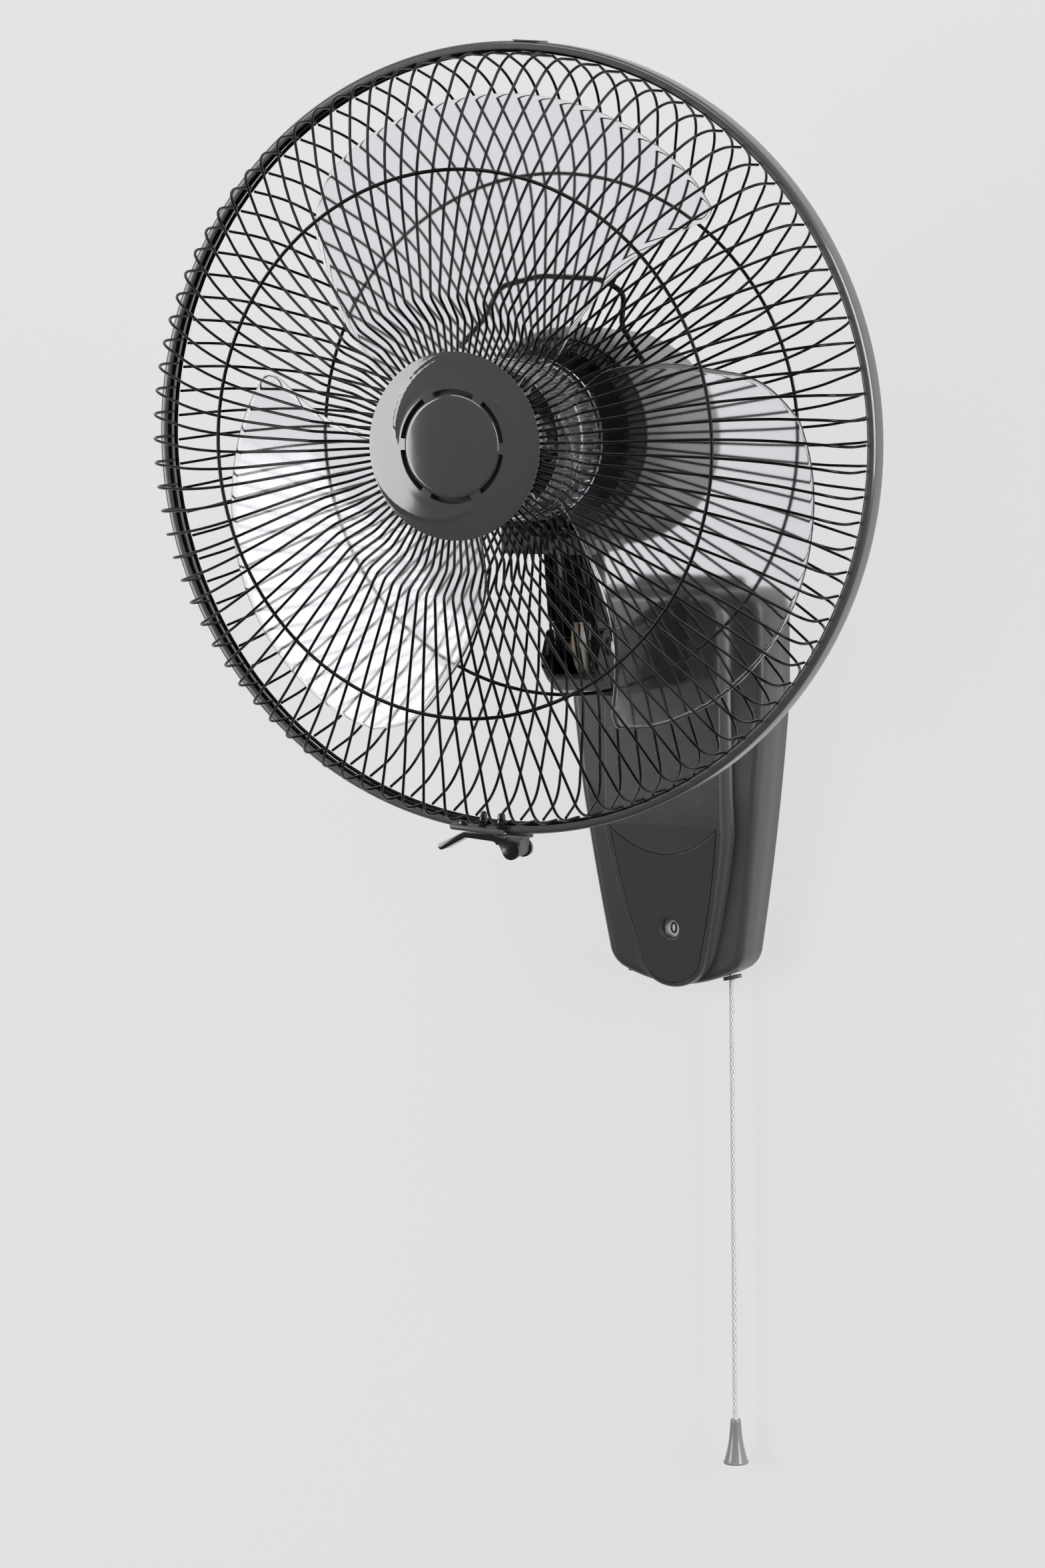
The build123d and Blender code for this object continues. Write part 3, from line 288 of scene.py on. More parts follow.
def insulated(name, colour):
    """A lead's soft sleeve, a little dirty in places."""
    finish = Finish(name, coat_weight=0.1)
    dirt = finish.grain(6, 4.0)
    fine = finish.grain(0.8, 3.0)
    finish.colour(finish.blend(dirt, grey(0.78, colour), grey(1.0, colour)))
    finish.rough(0.38 + fine * 0.15)
    return finish.relief(fine, 0.04, 0.5)


# The material slots of the CAD nodes, and what each is made of.
FINISHES = {
    "ring_grey": (polished, {"level": 0.060, "shine": 0.24, "tint": (0.98, 1.0, 1.0)}),
    "guard_wire": (coated_wire, {}),
    "badge_gloss": (polished, {"level": 0.052, "shine": 0.10, "tint": (1.0, 1.0, 0.96)}),
    "blade_clear": (clear_plastic, {"tint": (0.955, 0.945, 0.985)}),
    "spinner_clear": (clear_plastic, {"tint": (0.86, 0.84, 0.92)}),
    "motor_black": (moulded, {"level": 0.006, "shine": 0.20, "depth": 0.01, "tint": (1.0, 0.88, 0.86),
                              "specular_ior_level": 0.28}),
    "motor_grey": (moulded, {"level": 0.150, "shine": 0.42, "tint": WARM}),
    "housing_plastic": (moulded, {"level": 0.050, "shine": 0.34, "tint": WARM}),
    "panel_gloss": (moulded, {"level": 0.048, "shine": 0.26, "depth": 0.02, "tint": WARM}),
    "inlay_gloss": (moulded, {"level": 0.044, "shine": 0.24, "depth": 0.02, "tint": WARM}),
    "clear_lens": (window_plastic, {}),
    "grey_plastic": (moulded, {"level": 0.085, "shine": 0.40}),
    "latch_black": (polished, {"level": 0.006, "shine": 0.16}),
    "bell_grey": (polished, {"level": 0.215, "shine": 0.34}),
    "cord_white": (braided, {}),
    "drum_white": (moulded, {"level": 0.93, "shine": 0.45}),
    "lead_cream": (insulated, {"colour": (0.60, 0.49, 0.33)}),
    "lead_white": (insulated, {"colour": (0.78, 0.76, 0.70)}),
    "black_rubber": (moulded, {"level": 0.012, "shine": 0.65}),
    "plate_steel": (moulded, {"level": 0.05, "shine": 0.40, "metallic": 0.2}),
    "fastener_steel": (metal, {"level": 0.62, "shine": 0.25}),
    "shaft_steel": (metal, {"level": 0.70, "shine": 0.14}),
    "core_steel": (metal, {"level": 0.36, "shine": 0.34}),
    "bearing_bronze": (metal, {"level": 0.30, "shine": 0.36, "tint": (1.0, 0.86, 0.70)}),
    "inner_plastic": (moulded, {"level": 0.03, "shine": 0.45}),
}
slot_of = {part["node"]: part["material_slot"] for part in frame["record"]["subparts"]}
bodies = frame["record"]["behaviour"]["bodies"]
body_of = {node: body for body, nodes in bodies.items() for node in nodes}
materials = {slot: make(slot, **settings).material for slot, (make, settings) in FINISHES.items()}
for node, thing in frame["nodes"].items():
    thing.data.materials.clear()
    thing.data.materials.append(materials[slot_of[node]])


# ---------------------------------------------------------------- tools for shapes
def piece(name, bm, nodes, at=head_at, sharp=35, slot=None, stands_for=True):
    """Makes a mesh of millimetres into a piece that stands for one or more CAD nodes."""
    nodes = [nodes] if isinstance(nodes, str) else nodes
    bmesh.ops.transform(bm, matrix=at, verts=bm.verts[:])
    for edge in bm.edges:
        edge.smooth = len(edge.link_faces) == 2 and edge.calc_face_angle(pi) < radians(sharp)
    for face in bm.faces:
        face.smooth = True
    mesh = bpy.data.meshes.new(name)
    bm.to_mesh(mesh)
    bm.free()
    thing = bpy.data.objects.new(name, mesh)
    bpy.context.scene.collection.objects.link(thing)
    slot = slot or slot_of[nodes[0]]
    mesh.materials.append(materials[slot])
    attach(thing, body_of[nodes[0]])
    if stands_for:
        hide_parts(*nodes)
    return thing


def rounded(points, radius, steps=6):
    """A path with its corners turned into curves; radius is one length, or one for each corner."""
    points = [Vector(p) for p in points]
    cuts = radius if isinstance(radius, (list, tuple)) else [radius] * (len(points) - 2)
    line = [points[0]]
    for before, corner, after, cut in zip(points, points[1:], points[2:], cuts):
        into, out = before - corner, after - corner
        back = min(cut, into.length * 0.49, out.length * 0.49)
        start, end = corner + into.normalized() * back, corner + out.normalized() * back
        for i in range(steps + 1):
            t = i / steps
            line.append(start.lerp(corner, t).lerp(corner.lerp(end, t), t))
    line.append(points[-1])
    return line


def edges_among(verts):
    """The edges that have both their ends among some vertices."""
    ring = set(verts)
    edges = dict.fromkeys(e for v in verts for e in v.link_edges)
    return [e for e in edges if e.verts[0] in ring and e.verts[1] in ring]


def rod(bm, path, radius, sides=8):
    """A round bar along a path, with flat ends."""
    path = [Vector(p) for p in path]
    across = (path[1] - path[0]).orthogonal().normalized()
    before = None
    for i, point in enumerate(path):
        along = (path[min(i + 1, len(path) - 1)] - path[max(i - 1, 0)]).normalized()
        across = (across - along * across.dot(along)).normalized()
        turn = Matrix((across, along.cross(across), along)).transposed().to_4x4()
        last = i in (0, len(path) - 1)
        ring = bmesh.ops.create_circle(bm, segments=sides, radius=radius, cap_ends=last,
                                       matrix=Matrix.Translation(point) @ turn)["verts"]
        if before:
            bmesh.ops.bridge_loops(bm, edges=edges_among(before) + edges_among(ring))
        before = ring


def copies(bm, count):
    """Repeats everything in the mesh round the fan's axis."""
    geometry = bm.verts[:] + bm.edges[:] + bm.faces[:]
    bmesh.ops.spin(bm, geom=geometry, cent=(0, 0, 0), axis=FAN_AXIS, angle=2 * pi * (count - 1) / count,
                   steps=count - 1, use_duplicate=True)


def turned(bm, profile, steps, closed=False, corner=0.0, place=None):
    """Turns a profile round the Y axis. It is given as (along the axis, out from it)."""
    fresh = bmesh.new()
    points = [Vector((r, y, 0)) for y, r in profile]
    if corner and not closed:
        points = rounded(points, corner, 4)
    verts = [fresh.verts.new(p) for p in points]
    pairs = list(zip(verts, verts[1:])) + ([(verts[-1], verts[0])] if closed else [])
    for pair in pairs:
        fresh.edges.new(pair)
    if closed and corner:
        bmesh.ops.bevel(fresh, geom=fresh.verts[:], offset=corner, offset_type="OFFSET", segments=4,
                        profile=0.5, affect="VERTICES", material=-1)
    bmesh.ops.spin(fresh, geom=fresh.verts[:] + fresh.edges[:], cent=(0, 0, 0), axis=FAN_AXIS, angle=2 * pi,
                   steps=steps, use_merge=True)
    bmesh.ops.remove_doubles(fresh, verts=fresh.verts[:], dist=1e-4)
    bmesh.ops.recalc_face_normals(fresh, faces=fresh.faces[:])
    if place:
        bmesh.ops.transform(fresh, matrix=place, verts=fresh.verts[:])
    join(bm, fresh)


def join(bm, other):
    """Adds a second mesh to the first, and frees it."""
    mesh = bpy.data.meshes.new("joined")
    other.to_mesh(mesh)
    other.free()
    bm.from_mesh(mesh)
    bpy.data.meshes.remove(mesh)


def broken(bm, edge, sharp, segments=3):
    """Rounds the corners that turn by more than an angle in degrees."""
    corners = [e for e in bm.edges if len(e.link_faces) == 2 and e.calc_face_angle(0) > radians(sharp)]
    bmesh.ops.bevel(bm, geom=corners, offset=edge, offset_type="OFFSET", segments=segments, profile=0.5,
                    affect="EDGES", clamp_overlap=True, material=-1)


def block(bm, low, high, edge, place=None):
    """A block between two corners, with its edges rounded."""
    fresh = bmesh.new()
    low, high = Vector(low), Vector(high)
    size = high - low
    scale = Matrix.Diagonal((size.x, size.y, size.z, 1))
    bmesh.ops.create_cube(fresh, size=1, matrix=Matrix.Translation((low + high) / 2) @ scale)
    broken(fresh, edge, 40)
    if place:
        bmesh.ops.transform(fresh, matrix=place, verts=fresh.verts[:])
    join(bm, fresh)


def softened(node, edge, slot=None):
    """A CAD node's own shape, with its corners broken as a mould or a press leaves them."""
    bm = bmesh.new()
    bm.from_mesh(frame["nodes"][node].data)
    bmesh.ops.transform(bm, matrix=wall_at.inverted(), verts=bm.verts[:])
    bmesh.ops.remove_doubles(bm, verts=bm.verts[:], dist=0.004)
    bmesh.ops.dissolve_limit(bm, angle_limit=radians(1.0), verts=bm.verts[:], edges=bm.edges[:])
    broken(bm, edge, 25)
    piece(node + "_finished", bm, node, wall_at, sharp=40, slot=slot)


# ---------------------------------------------------------------- pull cord
cord_low, cord_high = (corner.z for corner in cord_corners)
eyelet_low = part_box("cord_eyelet")[0]


def pull_cord():
    """It hangs straight from the switch, through its eyelet, down into the bell."""
    data = bpy.data.curves.new("pull_cord_braid", "CURVE")
    data.dimensions = "3D"
    data.bevel_depth = (cord_corners[1].x - cord_corners[0].x) / 2
    data.bevel_resolution = 6
    data.use_fill_caps = True
    data.resolution_u = 10
    line = data.splines.new("NURBS")
    heights = [cord_high, eyelet_low.z - 12 * data.bevel_depth, cord_low]
    line.points.add(len(heights) - 1)
    for point, height in zip(line.points, heights):
        point.co = (cord.x, cord.y, height, 1)
    line.order_u = 3
    line.use_endpoint_u = True
    thing = bpy.data.objects.new("pull_cord_braid", data)
    bpy.context.scene.collection.objects.link(thing)
    data.materials.append(materials["cord_white"])
    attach(thing, "cord")
    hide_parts("pull_cord")
    return thing


def bell():
    """Moulded bell on the cord's end: a narrow neck that flares with hollow sides."""
    low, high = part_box("bell_knob")
    height, foot = (high.z - low.z) / MM, (high.x - low.x) / 2 / MM
    neck = 3.2
    straight, flare = 0.22, 0.78
    bm = bmesh.new()
    side = [(-height * t, neck + (foot - neck) * (straight * t + flare * t ** 2.4))
            for t in (0.06, 0.2, 0.4, 0.6, 0.8, 0.93)]
    profile = [(-1.2, 1.7), (0, 2.2), (0, neck - 0.5), (-0.5, neck - 0.1)] + side
    profile += [(-height + 0.9, foot), (-height + 0.2, foot - 0.25), (-height, foot - 0.8),
                (-height, foot - 1.8), (-height + 1.6, foot - 2.1), (-height + 1.8, 0)]
    top = Matrix.Translation((cord.x / MM, cord.y / MM, high.z / MM))
    turned(bm, profile, 48, place=top @ Matrix.Rotation(radians(90), 4, "X"))
    return piece("bell", bm, "bell_knob", wall_at)


braid = pull_cord()
bell_piece = bell()


# ---------------------------------------------------------------- guard
wire_r = 0.82
hoop_r = 1.15
wire_count = 96
twist_from = 120.0          # wires run straight out to this radius, and lean beyond it
front_bends = [(-3.2, 213.0), (-31.0, 213.4), (-66.8, 152.4), (-82.2, 81.6), (-69.6, 68.4), (-69.6, 47)]
rear_bends = [(4.2, 213.0), (29.0, 204.0), (62.4, 150.6), (48.4, 48)]


def guard_wires(name, node, bends, cuts, twist):
    """All wires of one half: each leans by a twist in degrees where it runs to the rim."""
    bm = bmesh.new()
    line = rounded([(0, y, r) for y, r in bends], cuts, 7)
    rim = bends[0][1]
    path = []
    for point in line:
        lean = radians(twist) * max(0.0, (point.z - twist_from) / (rim - twist_from)) ** 2
        path.append((point.z * sin(lean), point.y, point.z * cos(lean)))
    rod(bm, path, wire_r, 7)
    bmesh.ops.rotate(bm, verts=bm.verts[:], cent=(0, 0, 0), matrix=Matrix.Rotation(pi / wire_count, 3, "Y"))
    copies(bm, wire_count)
    piece(name, bm, node, sharp=60)


def hoop(name, node, y, r, thick=hoop_r):
    """One round wire that the guard's wires are welded to."""
    bm = bmesh.new()
    sides = 8
    turns = [2 * pi * i / sides for i in range(sides)]
    section = [(y + thick * cos(a), r + thick * sin(a)) for a in turns]
    turned(bm, section, 144, closed=True)
    piece(name, bm, node, sharp=60)


guard_wires("front_wires", "front_guard", front_bends, [14, 34, 3.2, 3.0], 2.2)
guard_wires("rear_wires", "rear_guard", rear_bends, [16, 24], -2.2)
hoop("front_rim_ring", "front_rim_hoop", -3.0, 215.0)
hoop("front_middle_ring", "front_mid_hoop", -65.4, 149.6, 1.05)
hoop("rear_rim_ring", "rear_rim_hoop", 4.0, 215.0)
hoop("rear_middle_ring", "rear_mid_hoop", 60.6, 147.6, 1.05)


def ring_band():
    """The band that holds both halves: a rolled strip with a soft front lip."""
    bm = bmesh.new()
    half = (ring_high.y - ring_low.y) / 2 / MM
    wall, lip, lip_deep, soft = 2.8, 2.4, 4.6, 1.4
    profile = [(-half, ring_r - lip_deep), (-half, ring_r - soft), (-half + soft, ring_r),
               (half - 0.8, ring_r), (half, ring_r - 0.8), (half, ring_r - wall),
               (-half + lip, ring_r - wall), (-half + lip, ring_r - lip_deep)]
    turned(bm, profile, 240, closed=True, corner=0.55)
    piece("band", bm, "ring_band")


ring_band()


def badge():
    """A shallow glossy dome with six arc slots round a plain middle, and three faint creases."""
    low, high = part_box("badge")
    r_out = (high.x - low.x) / 2 / MM
    back_y = high.y / MM + reach - 1.8
    front_y = low.y / MM + reach
    rim_y = back_y - 1.5
    bm = bmesh.new()
    slot_in, slot_out, slot_deep = 28.3, 31.2, 4.0
    slot_turn, slot_gap = 60, 12                  # degrees
    raised, raised_edge = 0.7, 1.2                # the plain middle stands out by this
    crease_in, crease, crease_turn = 32.5, 0.55, 120

    def height(r):
        dome = front_y + (rim_y - front_y) * (r / r_out) ** 2.2
        if r < slot_in:
            dome -= raised * min(1.0, (slot_in - r) / raised_edge) ** 0.5
        return dome

    radii = [0.0, 4, 9, 14, 19, 23, 26, 27.1, 27.6, 28.0, slot_in, slot_out, 31.8, 32.6]
    radii += [34 + 1.1 * i for i in range(15)] + [r_out - 0.9, r_out - 0.3, r_out]
    profile = [(height(r), r) for r in radii] + [(rim_y + 0.9, r_out), (back_y, r_out - 0.4), (back_y, 0)]
    turned(bm, profile, 180)

    def in_slot(face):
        middle = face.calc_center_median()
        r = hypot(middle.x, middle.z)
        share = (degrees(atan2(middle.z, middle.x)) + 8) % slot_turn
        return middle.y < rim_y + 0.5 and slot_in < r < slot_out and share > slot_gap

    sunk = [f for f in bm.faces if in_slot(f)]
    grown = bmesh.ops.extrude_face_region(bm, geom=sunk)
    bmesh.ops.delete(bm, geom=sunk, context="FACES")
    floor = [v for v in grown["geom"] if isinstance(v, bmesh.types.BMVert)]
    bmesh.ops.translate(bm, verts=floor, vec=(0, slot_deep, 0))
    for vert in bm.verts:
        r = hypot(vert.co.x, vert.co.z)
        if vert.co.y < rim_y + 0.2 and crease_in < r < r_out - 0.5:
            sweep = degrees(atan2(vert.co.z, vert.co.x)) + (r - 32) * 5.2 - 70
            step = (sweep % crease_turn) / crease_turn
            edge = min(1.0, (1 - step) / 0.02)
            fade = min(1.0, (r - crease_in) / 4) * min(1.0, (r_out - r) / 3)
            vert.co.y -= crease * step ** 3 * edge * fade
    bmesh.ops.recalc_face_normals(bm, faces=bm.faces[:])
    piece("badge_cap", bm, "badge", sharp=28)


badge()


def handle():
    """One bent wire behind the motor's top."""
    bm = bmesh.new()
    stand = 72
    bends = [(-57, 54, 50), (-49, stand - 2, 66), (-40, stand, 84), (-14, stand, 90), (24, stand, 88),
             (38, stand, 80), (36, stand - 1, 62), (56, 55, 43)]
    rod(bm, rounded(bends, 6, 5), 1.6, 12)
    piece("handle_wire", bm, "guard_handle", sharp=60)


handle()


# ---------------------------------------------------------------- blade
blade_lead = 190.0          # the screw surface's lead in one turn
blade_wall = 1.9
hub_r, hub_front = 44.0, -34.0
root_r = hub_r - 0.6
phase = 93.0                # where the first blade's middle stands, degrees from +X
# The blade's outline, as (degrees from its middle, radius).
leading = [(-28, root_r), (-32, 80), (-36, 114), (-40.6, 139), (-45, 161), (-44.8, 170)]
outer = [(-44.8, 170), (-36, 178.6), (-18, 188), (0, 191.5), (20, 187.5), (31, 181)]
trailing = [(48, root_r), (56, 75), (51, 107), (44.6, 136), (39, 163), (31, 181)]


def on_line(points, t):
    """A point at a share t of the way along a smooth line through the points."""
    steps = [0.0]
    for (a, r), (b, s) in zip(points, points[1:]):
        steps.append(steps[-1] + hypot(radians(b - a) * (r + s) / 2, s - r))
    at = t * steps[-1]
    k = max(i for i in range(len(points) - 1) if steps[i] <= at + 1e-9)
    u = (at - steps[k]) / (steps[k + 1] - steps[k])
    p = [Vector(points[max(0, min(len(points) - 1, k + j))]) for j in (-1, 0, 1, 2)]
    return 0.5 * (2 * p[1] + (p[2] - p[0]) * u + (2 * p[0] - 5 * p[1] + 4 * p[2] - p[3]) * u ** 2
                  + (3 * p[1] - p[0] - 3 * p[2] + p[3]) * u ** 3)


def on_blade(u, v):
    """The outline's four sides stretched over a unit square: (degrees, radius)."""
    root = Vector((leading[0][0] + (trailing[0][0] - leading[0][0]) * u, root_r))
    tip, front, rear = on_line(outer, u), on_line(leading, v), on_line(trailing, v)
    corners = ((1 - u) * (1 - v) * Vector(leading[0]) + u * (1 - v) * Vector(trailing[0])
               + (1 - u) * v * Vector(leading[-1]) + u * v * Vector(trailing[-1]))
    return (1 - v) * root + v * tip + (1 - u) * front + u * rear - corners


def blade_sheet(bm, across, out):
    """One blade's middle surface, on its screw."""
    fresh = bmesh.new()
    bmesh.ops.create_grid(fresh, x_segments=across, y_segments=out, size=0.5)
    for vert in fresh.verts:
        angle, r = on_blade(vert.co.x + 0.5, vert.co.y + 0.5)
        a = radians(angle + phase)
        vert.co = (r * cos(a), -blade_lead * angle / 360, r * sin(a))
    bmesh.ops.recalc_face_normals(fresh, faces=fresh.faces[:])
    join(bm, fresh)


def blades():
    """Three clear blades and their hub, in one moulding."""
    bm = bmesh.new()
    blade_sheet(bm, 44, 34)
    bmesh.ops.solidify(bm, geom=bm.faces[:], thickness=blade_wall)
    bmesh.ops.recalc_face_normals(bm, faces=bm.faces[:])
    broken(bm, 0.25, 50, segments=1)
    copies(bm, 3)
    hub(bm)
    piece("blades", bm, "blade", sharp=50)


def hub(bm):
    """A stepped clear cup with ribs inside it, a double edge and a ring of small vanes behind."""
    front, rear, wall = hub_front, 22.0, 2.2
    cup = [(front, 5), (front, 16), (front, hub_r - 11), (front + 3, hub_r - 7), (front + 5, hub_r - 1.2),
           (front + 14, hub_r), (-2.0, hub_r), (-1.0, hub_r + 1.0), (1.2, hub_r + 1.0), (2.0, hub_r),
           (rear - 9, hub_r), (rear - 2.4, hub_r + 0.6), (rear - 2.0, hub_r + 2.4), (rear, hub_r + 2.4),
           (rear, hub_r - wall), (front + 8, hub_r - wall - 0.4), (front + 6, hub_r - 9),
           (front + wall, hub_r - 12), (front + wall, 9), (front + 26, 9), (front + 26, 5)]
    turned(bm, cup, 120, closed=True, corner=0.4)
    ribs = bmesh.new()
    block(ribs, (10, front + wall, -0.7), (hub_r - wall - 0.3, front + 25, 0.7), 0.25)
    copies(ribs, 6)
    join(bm, ribs)
    vanes = bmesh.new()
    block(vanes, (hub_r - 0.2, rear - 11, -0.5), (hub_r + 1.8, rear - 2.2, 0.5), 0.2)
    copies(vanes, 48)
    join(bm, vanes)


blades()


def spinner():
    """Clear nut on the blade's front, with grip flutes."""
    bm = bmesh.new()
    front, shaft_end, bore = hub_front - 0.05, hub_front - 4.05, 4.1
    flutes, flute_deep = 12, 0.09
    cup = [(front - 13, 0), (front - 13, 7.4), (front - 11.6, 11.6), (front - 7, 13.6), (front - 0.4, 14),
           (front, 13.6), (front, bore), (shaft_end, bore), (shaft_end, 0)]
    turned(bm, cup, 72, corner=0.5)
    for vert in bm.verts:
        r = hypot(vert.co.x, vert.co.z)
        if r > 10.5 and vert.co.y < front - 0.3:
            flute = max(0.0, cos(flutes * atan2(vert.co.z, vert.co.x))) ** 3
            vert.co.x *= 1 - flute_deep * flute
            vert.co.z *= 1 - flute_deep * flute
    piece("spinner_nut", bm, "spinner", sharp=45)


spinner()


# ---------------------------------------------------------------- motor
def motor_front():
    """Black front cover: a low glossy dome inside a bright bead, and a ribbed slope outside it."""
    bm = bmesh.new()
    nose, face, split = 38.5, 52.0, 68.9            # depths behind the ring's plane
    bore, boss, bead, r = 8.2, 14, 49.2, 54.6
    cup = [(nose, bore), (nose, boss), (face - 3.2, boss), (face - 2.0, 18), (face - 1.4, 30),
           (face - 1.2, 42), (face - 1.0, bead - 1.2), (face - 0.7, bead - 0.4), (face - 0.7, bead + 0.6),
           (face + 0.6, bead + 1.0), (face + 9.0, r - 0.8), (face + 10.5, r), (split, r), (split, r - 2.5),
           (face + 7, r - 6), (face + 4, 44), (face + 4, bore)]
    turned(bm, cup, 144, closed=True, corner=0.3)
    ribs = bmesh.new()
    block(ribs, (18.5, face - 2.4, -0.7), (38.5, face - 0.7, 0.7), 0.3)
    copies(ribs, 18)
    join(bm, ribs)
    slope = atan2(r - 0.8 - bead - 1.0, 8.4)
    lean = Matrix.Translation((bead + 0.9, face + 0.6, 0)) @ Matrix.Rotation(-slope, 4, "Z")
    fins = bmesh.new()
    block(fins, (-1.0, 0.4, -0.6), (0.9, 9.0, 0.6), 0.25, lean)
    copies(fins, 54)
    join(bm, fins)
    piece("front_cover", bm, "motor_front_cover", sharp=40)


def motor_rear():
    """Grey rear cover: a deep cup that hangs a little lower at its back, where five slots go through."""
    low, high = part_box("motor_rear_cover")
    f, b = low.y / MM + reach, high.y / MM + reach      # its front and its back
    r = (high.x - low.x) / 2 / MM
    wall, shoulder, hang = 2.5, 20.0, 6.0
    back_r = r - shoulder
    arc_out = [(b - shoulder + shoulder * sin(a), back_r + shoulder * cos(a)) for a in quarter(14)]
    inner = shoulder - wall
    arc_in = [(b - shoulder + inner * sin(a), back_r + inner * cos(a)) for a in reversed(quarter(8))]
    lip = r - 7.1
    cup = [(f - 6.5, lip), (f - 6.5, lip + 1), (f - 1, r - 2.6), (f + 5, r - 0.9), (f + 12, r)]
    bm = bmesh.new()
    turned(bm, cup + arc_out + arc_in, 120, closed=True)
    turns = [2 * pi * i / 120 for i in range(120)]
    rim = [(back_r * cos(a), back_r * sin(a)) for a in turns]
    slots = [slot_outline(7.0 * i, 34.0, 2.6) for i in range(-2, 3)]
    pierced(bm, rim, slots, b, b - wall)
    for vert in bm.verts:
        vert.co.z -= hang * (vert.co.y - f) / (b - f)
    piece("rear_cover", bm, "motor_rear_cover", sharp=40)


def quarter(steps):
    """Angles from 0 to 90 degrees."""
    return [radians(90 * i / steps) for i in range(steps + 1)]


def slot_outline(z, long, wide):
    """A slot with round ends, lying along X at a height."""
    r = wide / 2
    end = [(long / 2 - r + r * sin(a), z + r * cos(a)) for a in (pi * i / 6 for i in range(7))]
    return end + [(-x, 2 * z - other) for x, other in end]


def pierced(bm, rim, holes, front, back):
    """A flat plate between two depths, cut through by holes. All outlines are in XZ."""
    fresh = bmesh.new()
    edges = []
    for loop in [rim] + holes:
        verts = [fresh.verts.new((x, front, z)) for x, z in loop]
        edges += [fresh.edges.new(pair) for pair in zip(verts, verts[1:] + verts[:1])]
    filled = bmesh.ops.triangle_fill(fresh, use_beauty=True, use_dissolve=False, edges=edges)
    faces = [g for g in filled["geom"] if isinstance(g, bmesh.types.BMFace)]
    grown = bmesh.ops.extrude_face_region(fresh, geom=faces, use_keep_orig=True)
    moved = [g for g in grown["geom"] if isinstance(g, bmesh.types.BMVert)]
    bmesh.ops.translate(fresh, verts=moved, vec=(0, back - front, 0))
    bmesh.ops.recalc_face_normals(fresh, faces=fresh.faces[:])
    join(bm, fresh)


motor_front()
motor_rear()
softened("guard_nut", 0.9)
softened("gearbox_case", 1.6)


# ---------------------------------------------------------------- clip and latch
def top_clip():
    """A thin strap over the band's top with three lugs that hang inside the band."""
    bm = bmesh.new()
    turn = Matrix.Rotation(radians(3.8), 4, "Y")      # the guard sits turned by this on its motor
    over, strap = ring_r + 0.7, 7.5
    block(bm, (-strap, -6.4, ring_r - 0.1), (strap, 8.0, over), 0.3, turn)
    block(bm, (-strap, 6.6, ring_r - 6.0), (strap, 8.0, over), 0.3, turn)
    for x, wide, long in ((-8.2, 2.8, 3.6), (0, 7.0, 5.2), (7.6, 4.4, 4.2)):
        block(bm, (x - wide / 2, -4.0, ring_r - 2.6 - long), (x + wide / 2, 3.0, ring_r - 2.5), 0.8, turn)
    piece("band_clip", bm, "top_clip")


def slab(bm, outline, front, back, edge):
    """A flat shape between two depths, with its corners rounded. Its outline is in XZ."""
    fresh = bmesh.new()
    pierced(fresh, outline, [], front, back)
    broken(fresh, edge, 40)
    join(bm, fresh)


latch_low, latch_high = (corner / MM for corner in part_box("latch_lever"))
pin_low, pin_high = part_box("latch_pin")
pivot = ((pin_low + pin_high) / 2) / MM


def latch_lever():
    """Black lever: two round cheeks on the pivot, and an arm that bends down to its paddle."""
    bm = bmesh.new()
    r, cheek = 5.2, 2.6
    front, back = latch_low.y, latch_high.y
    eye = [(pivot.x + r * cos(radians(a)), pivot.z + r * sin(radians(a))) for a in range(80, -171, -10)]
    under = [(-6.2, -6.3), (-10.0, -4.2), (-27.2, -2.6), (-41.2, -9.9), (-43.0, -10.2), (-44.2, -9.2)]
    above = [(-44.2, -6.9), (-28.4, 0.4), (-10.0, -0.9), (-4.2, -2.4), (-1.2, -3.7)]
    slab(bm, eye + under + above, front, front + cheek, 0.7)
    arm = [(-8.0, -4.9)] + under[1:] + above[:3] + [(-8.0, -1.5)]
    slab(bm, arm, front + 0.2, front + 11.0, 0.9)
    slab(bm, eye + [(-8.8, -6.4), (-8.8, -2.7), (-1.2, -3.7)], back - cheek, back, 0.7)
    block(bm, (-8.8, front + 0.3, -6.2), (-5.2, back - 0.3, -2.8), 0.7)
    piece("release_lever", bm, "latch_lever", wall_at, sharp=50)


def latch_parts():
    """The rounded lip on the front, its black hooks and the lever's pivot."""
    lip = bmesh.new()
    middle, lean_by = (-20.1, -258.2, 2.45), radians(4.3)
    lean = Matrix.Translation(middle) @ Matrix.Rotation(lean_by, 4, "Y")
    block(lip, (-16.8, -2.2, -2.1), (16.8, 1.7, 1.7), 1.6, lean)
    block(lip, (-15.4, -1.4, 1.2), (14.6, 1.7, 2.5), 0.5, lean)
    piece("lip", lip, "latch_lip", wall_at, sharp=50)
    hooks = bmesh.new()
    front, back = -260.0, -256.6
    for outline in ([(-19.0, 3.4), (-13.6, 3.2), (-14.6, 11.6), (-16.2, 12.9), (-17.4, 12.0)],
                    [(-7.4, 2.6), (-2.4, 2.4), (-3.2, 11.0), (-5.0, 12.2), (-6.8, 11.0)],
                    [(-31.4, 4.2), (-25.0, 3.8), (-26.0, 6.6), (-30.4, 7.2)]):
        slab(hooks, outline, front, back, 0.6)
    piece("latch_hooks", hooks, "latch_lip", wall_at, sharp=50, slot="latch_black", stands_for=False)
    pin = bmesh.new()
    rod(pin, [(pivot.x, y, pivot.z) for y in (latch_low.y + 0.3, latch_high.y - 0.3)], 1.5, 24)
    piece("latch_pivot", pin, "latch_pin", wall_at)


top_clip()
latch_lever()
latch_parts()
softened("latch_bracket", 0.5)


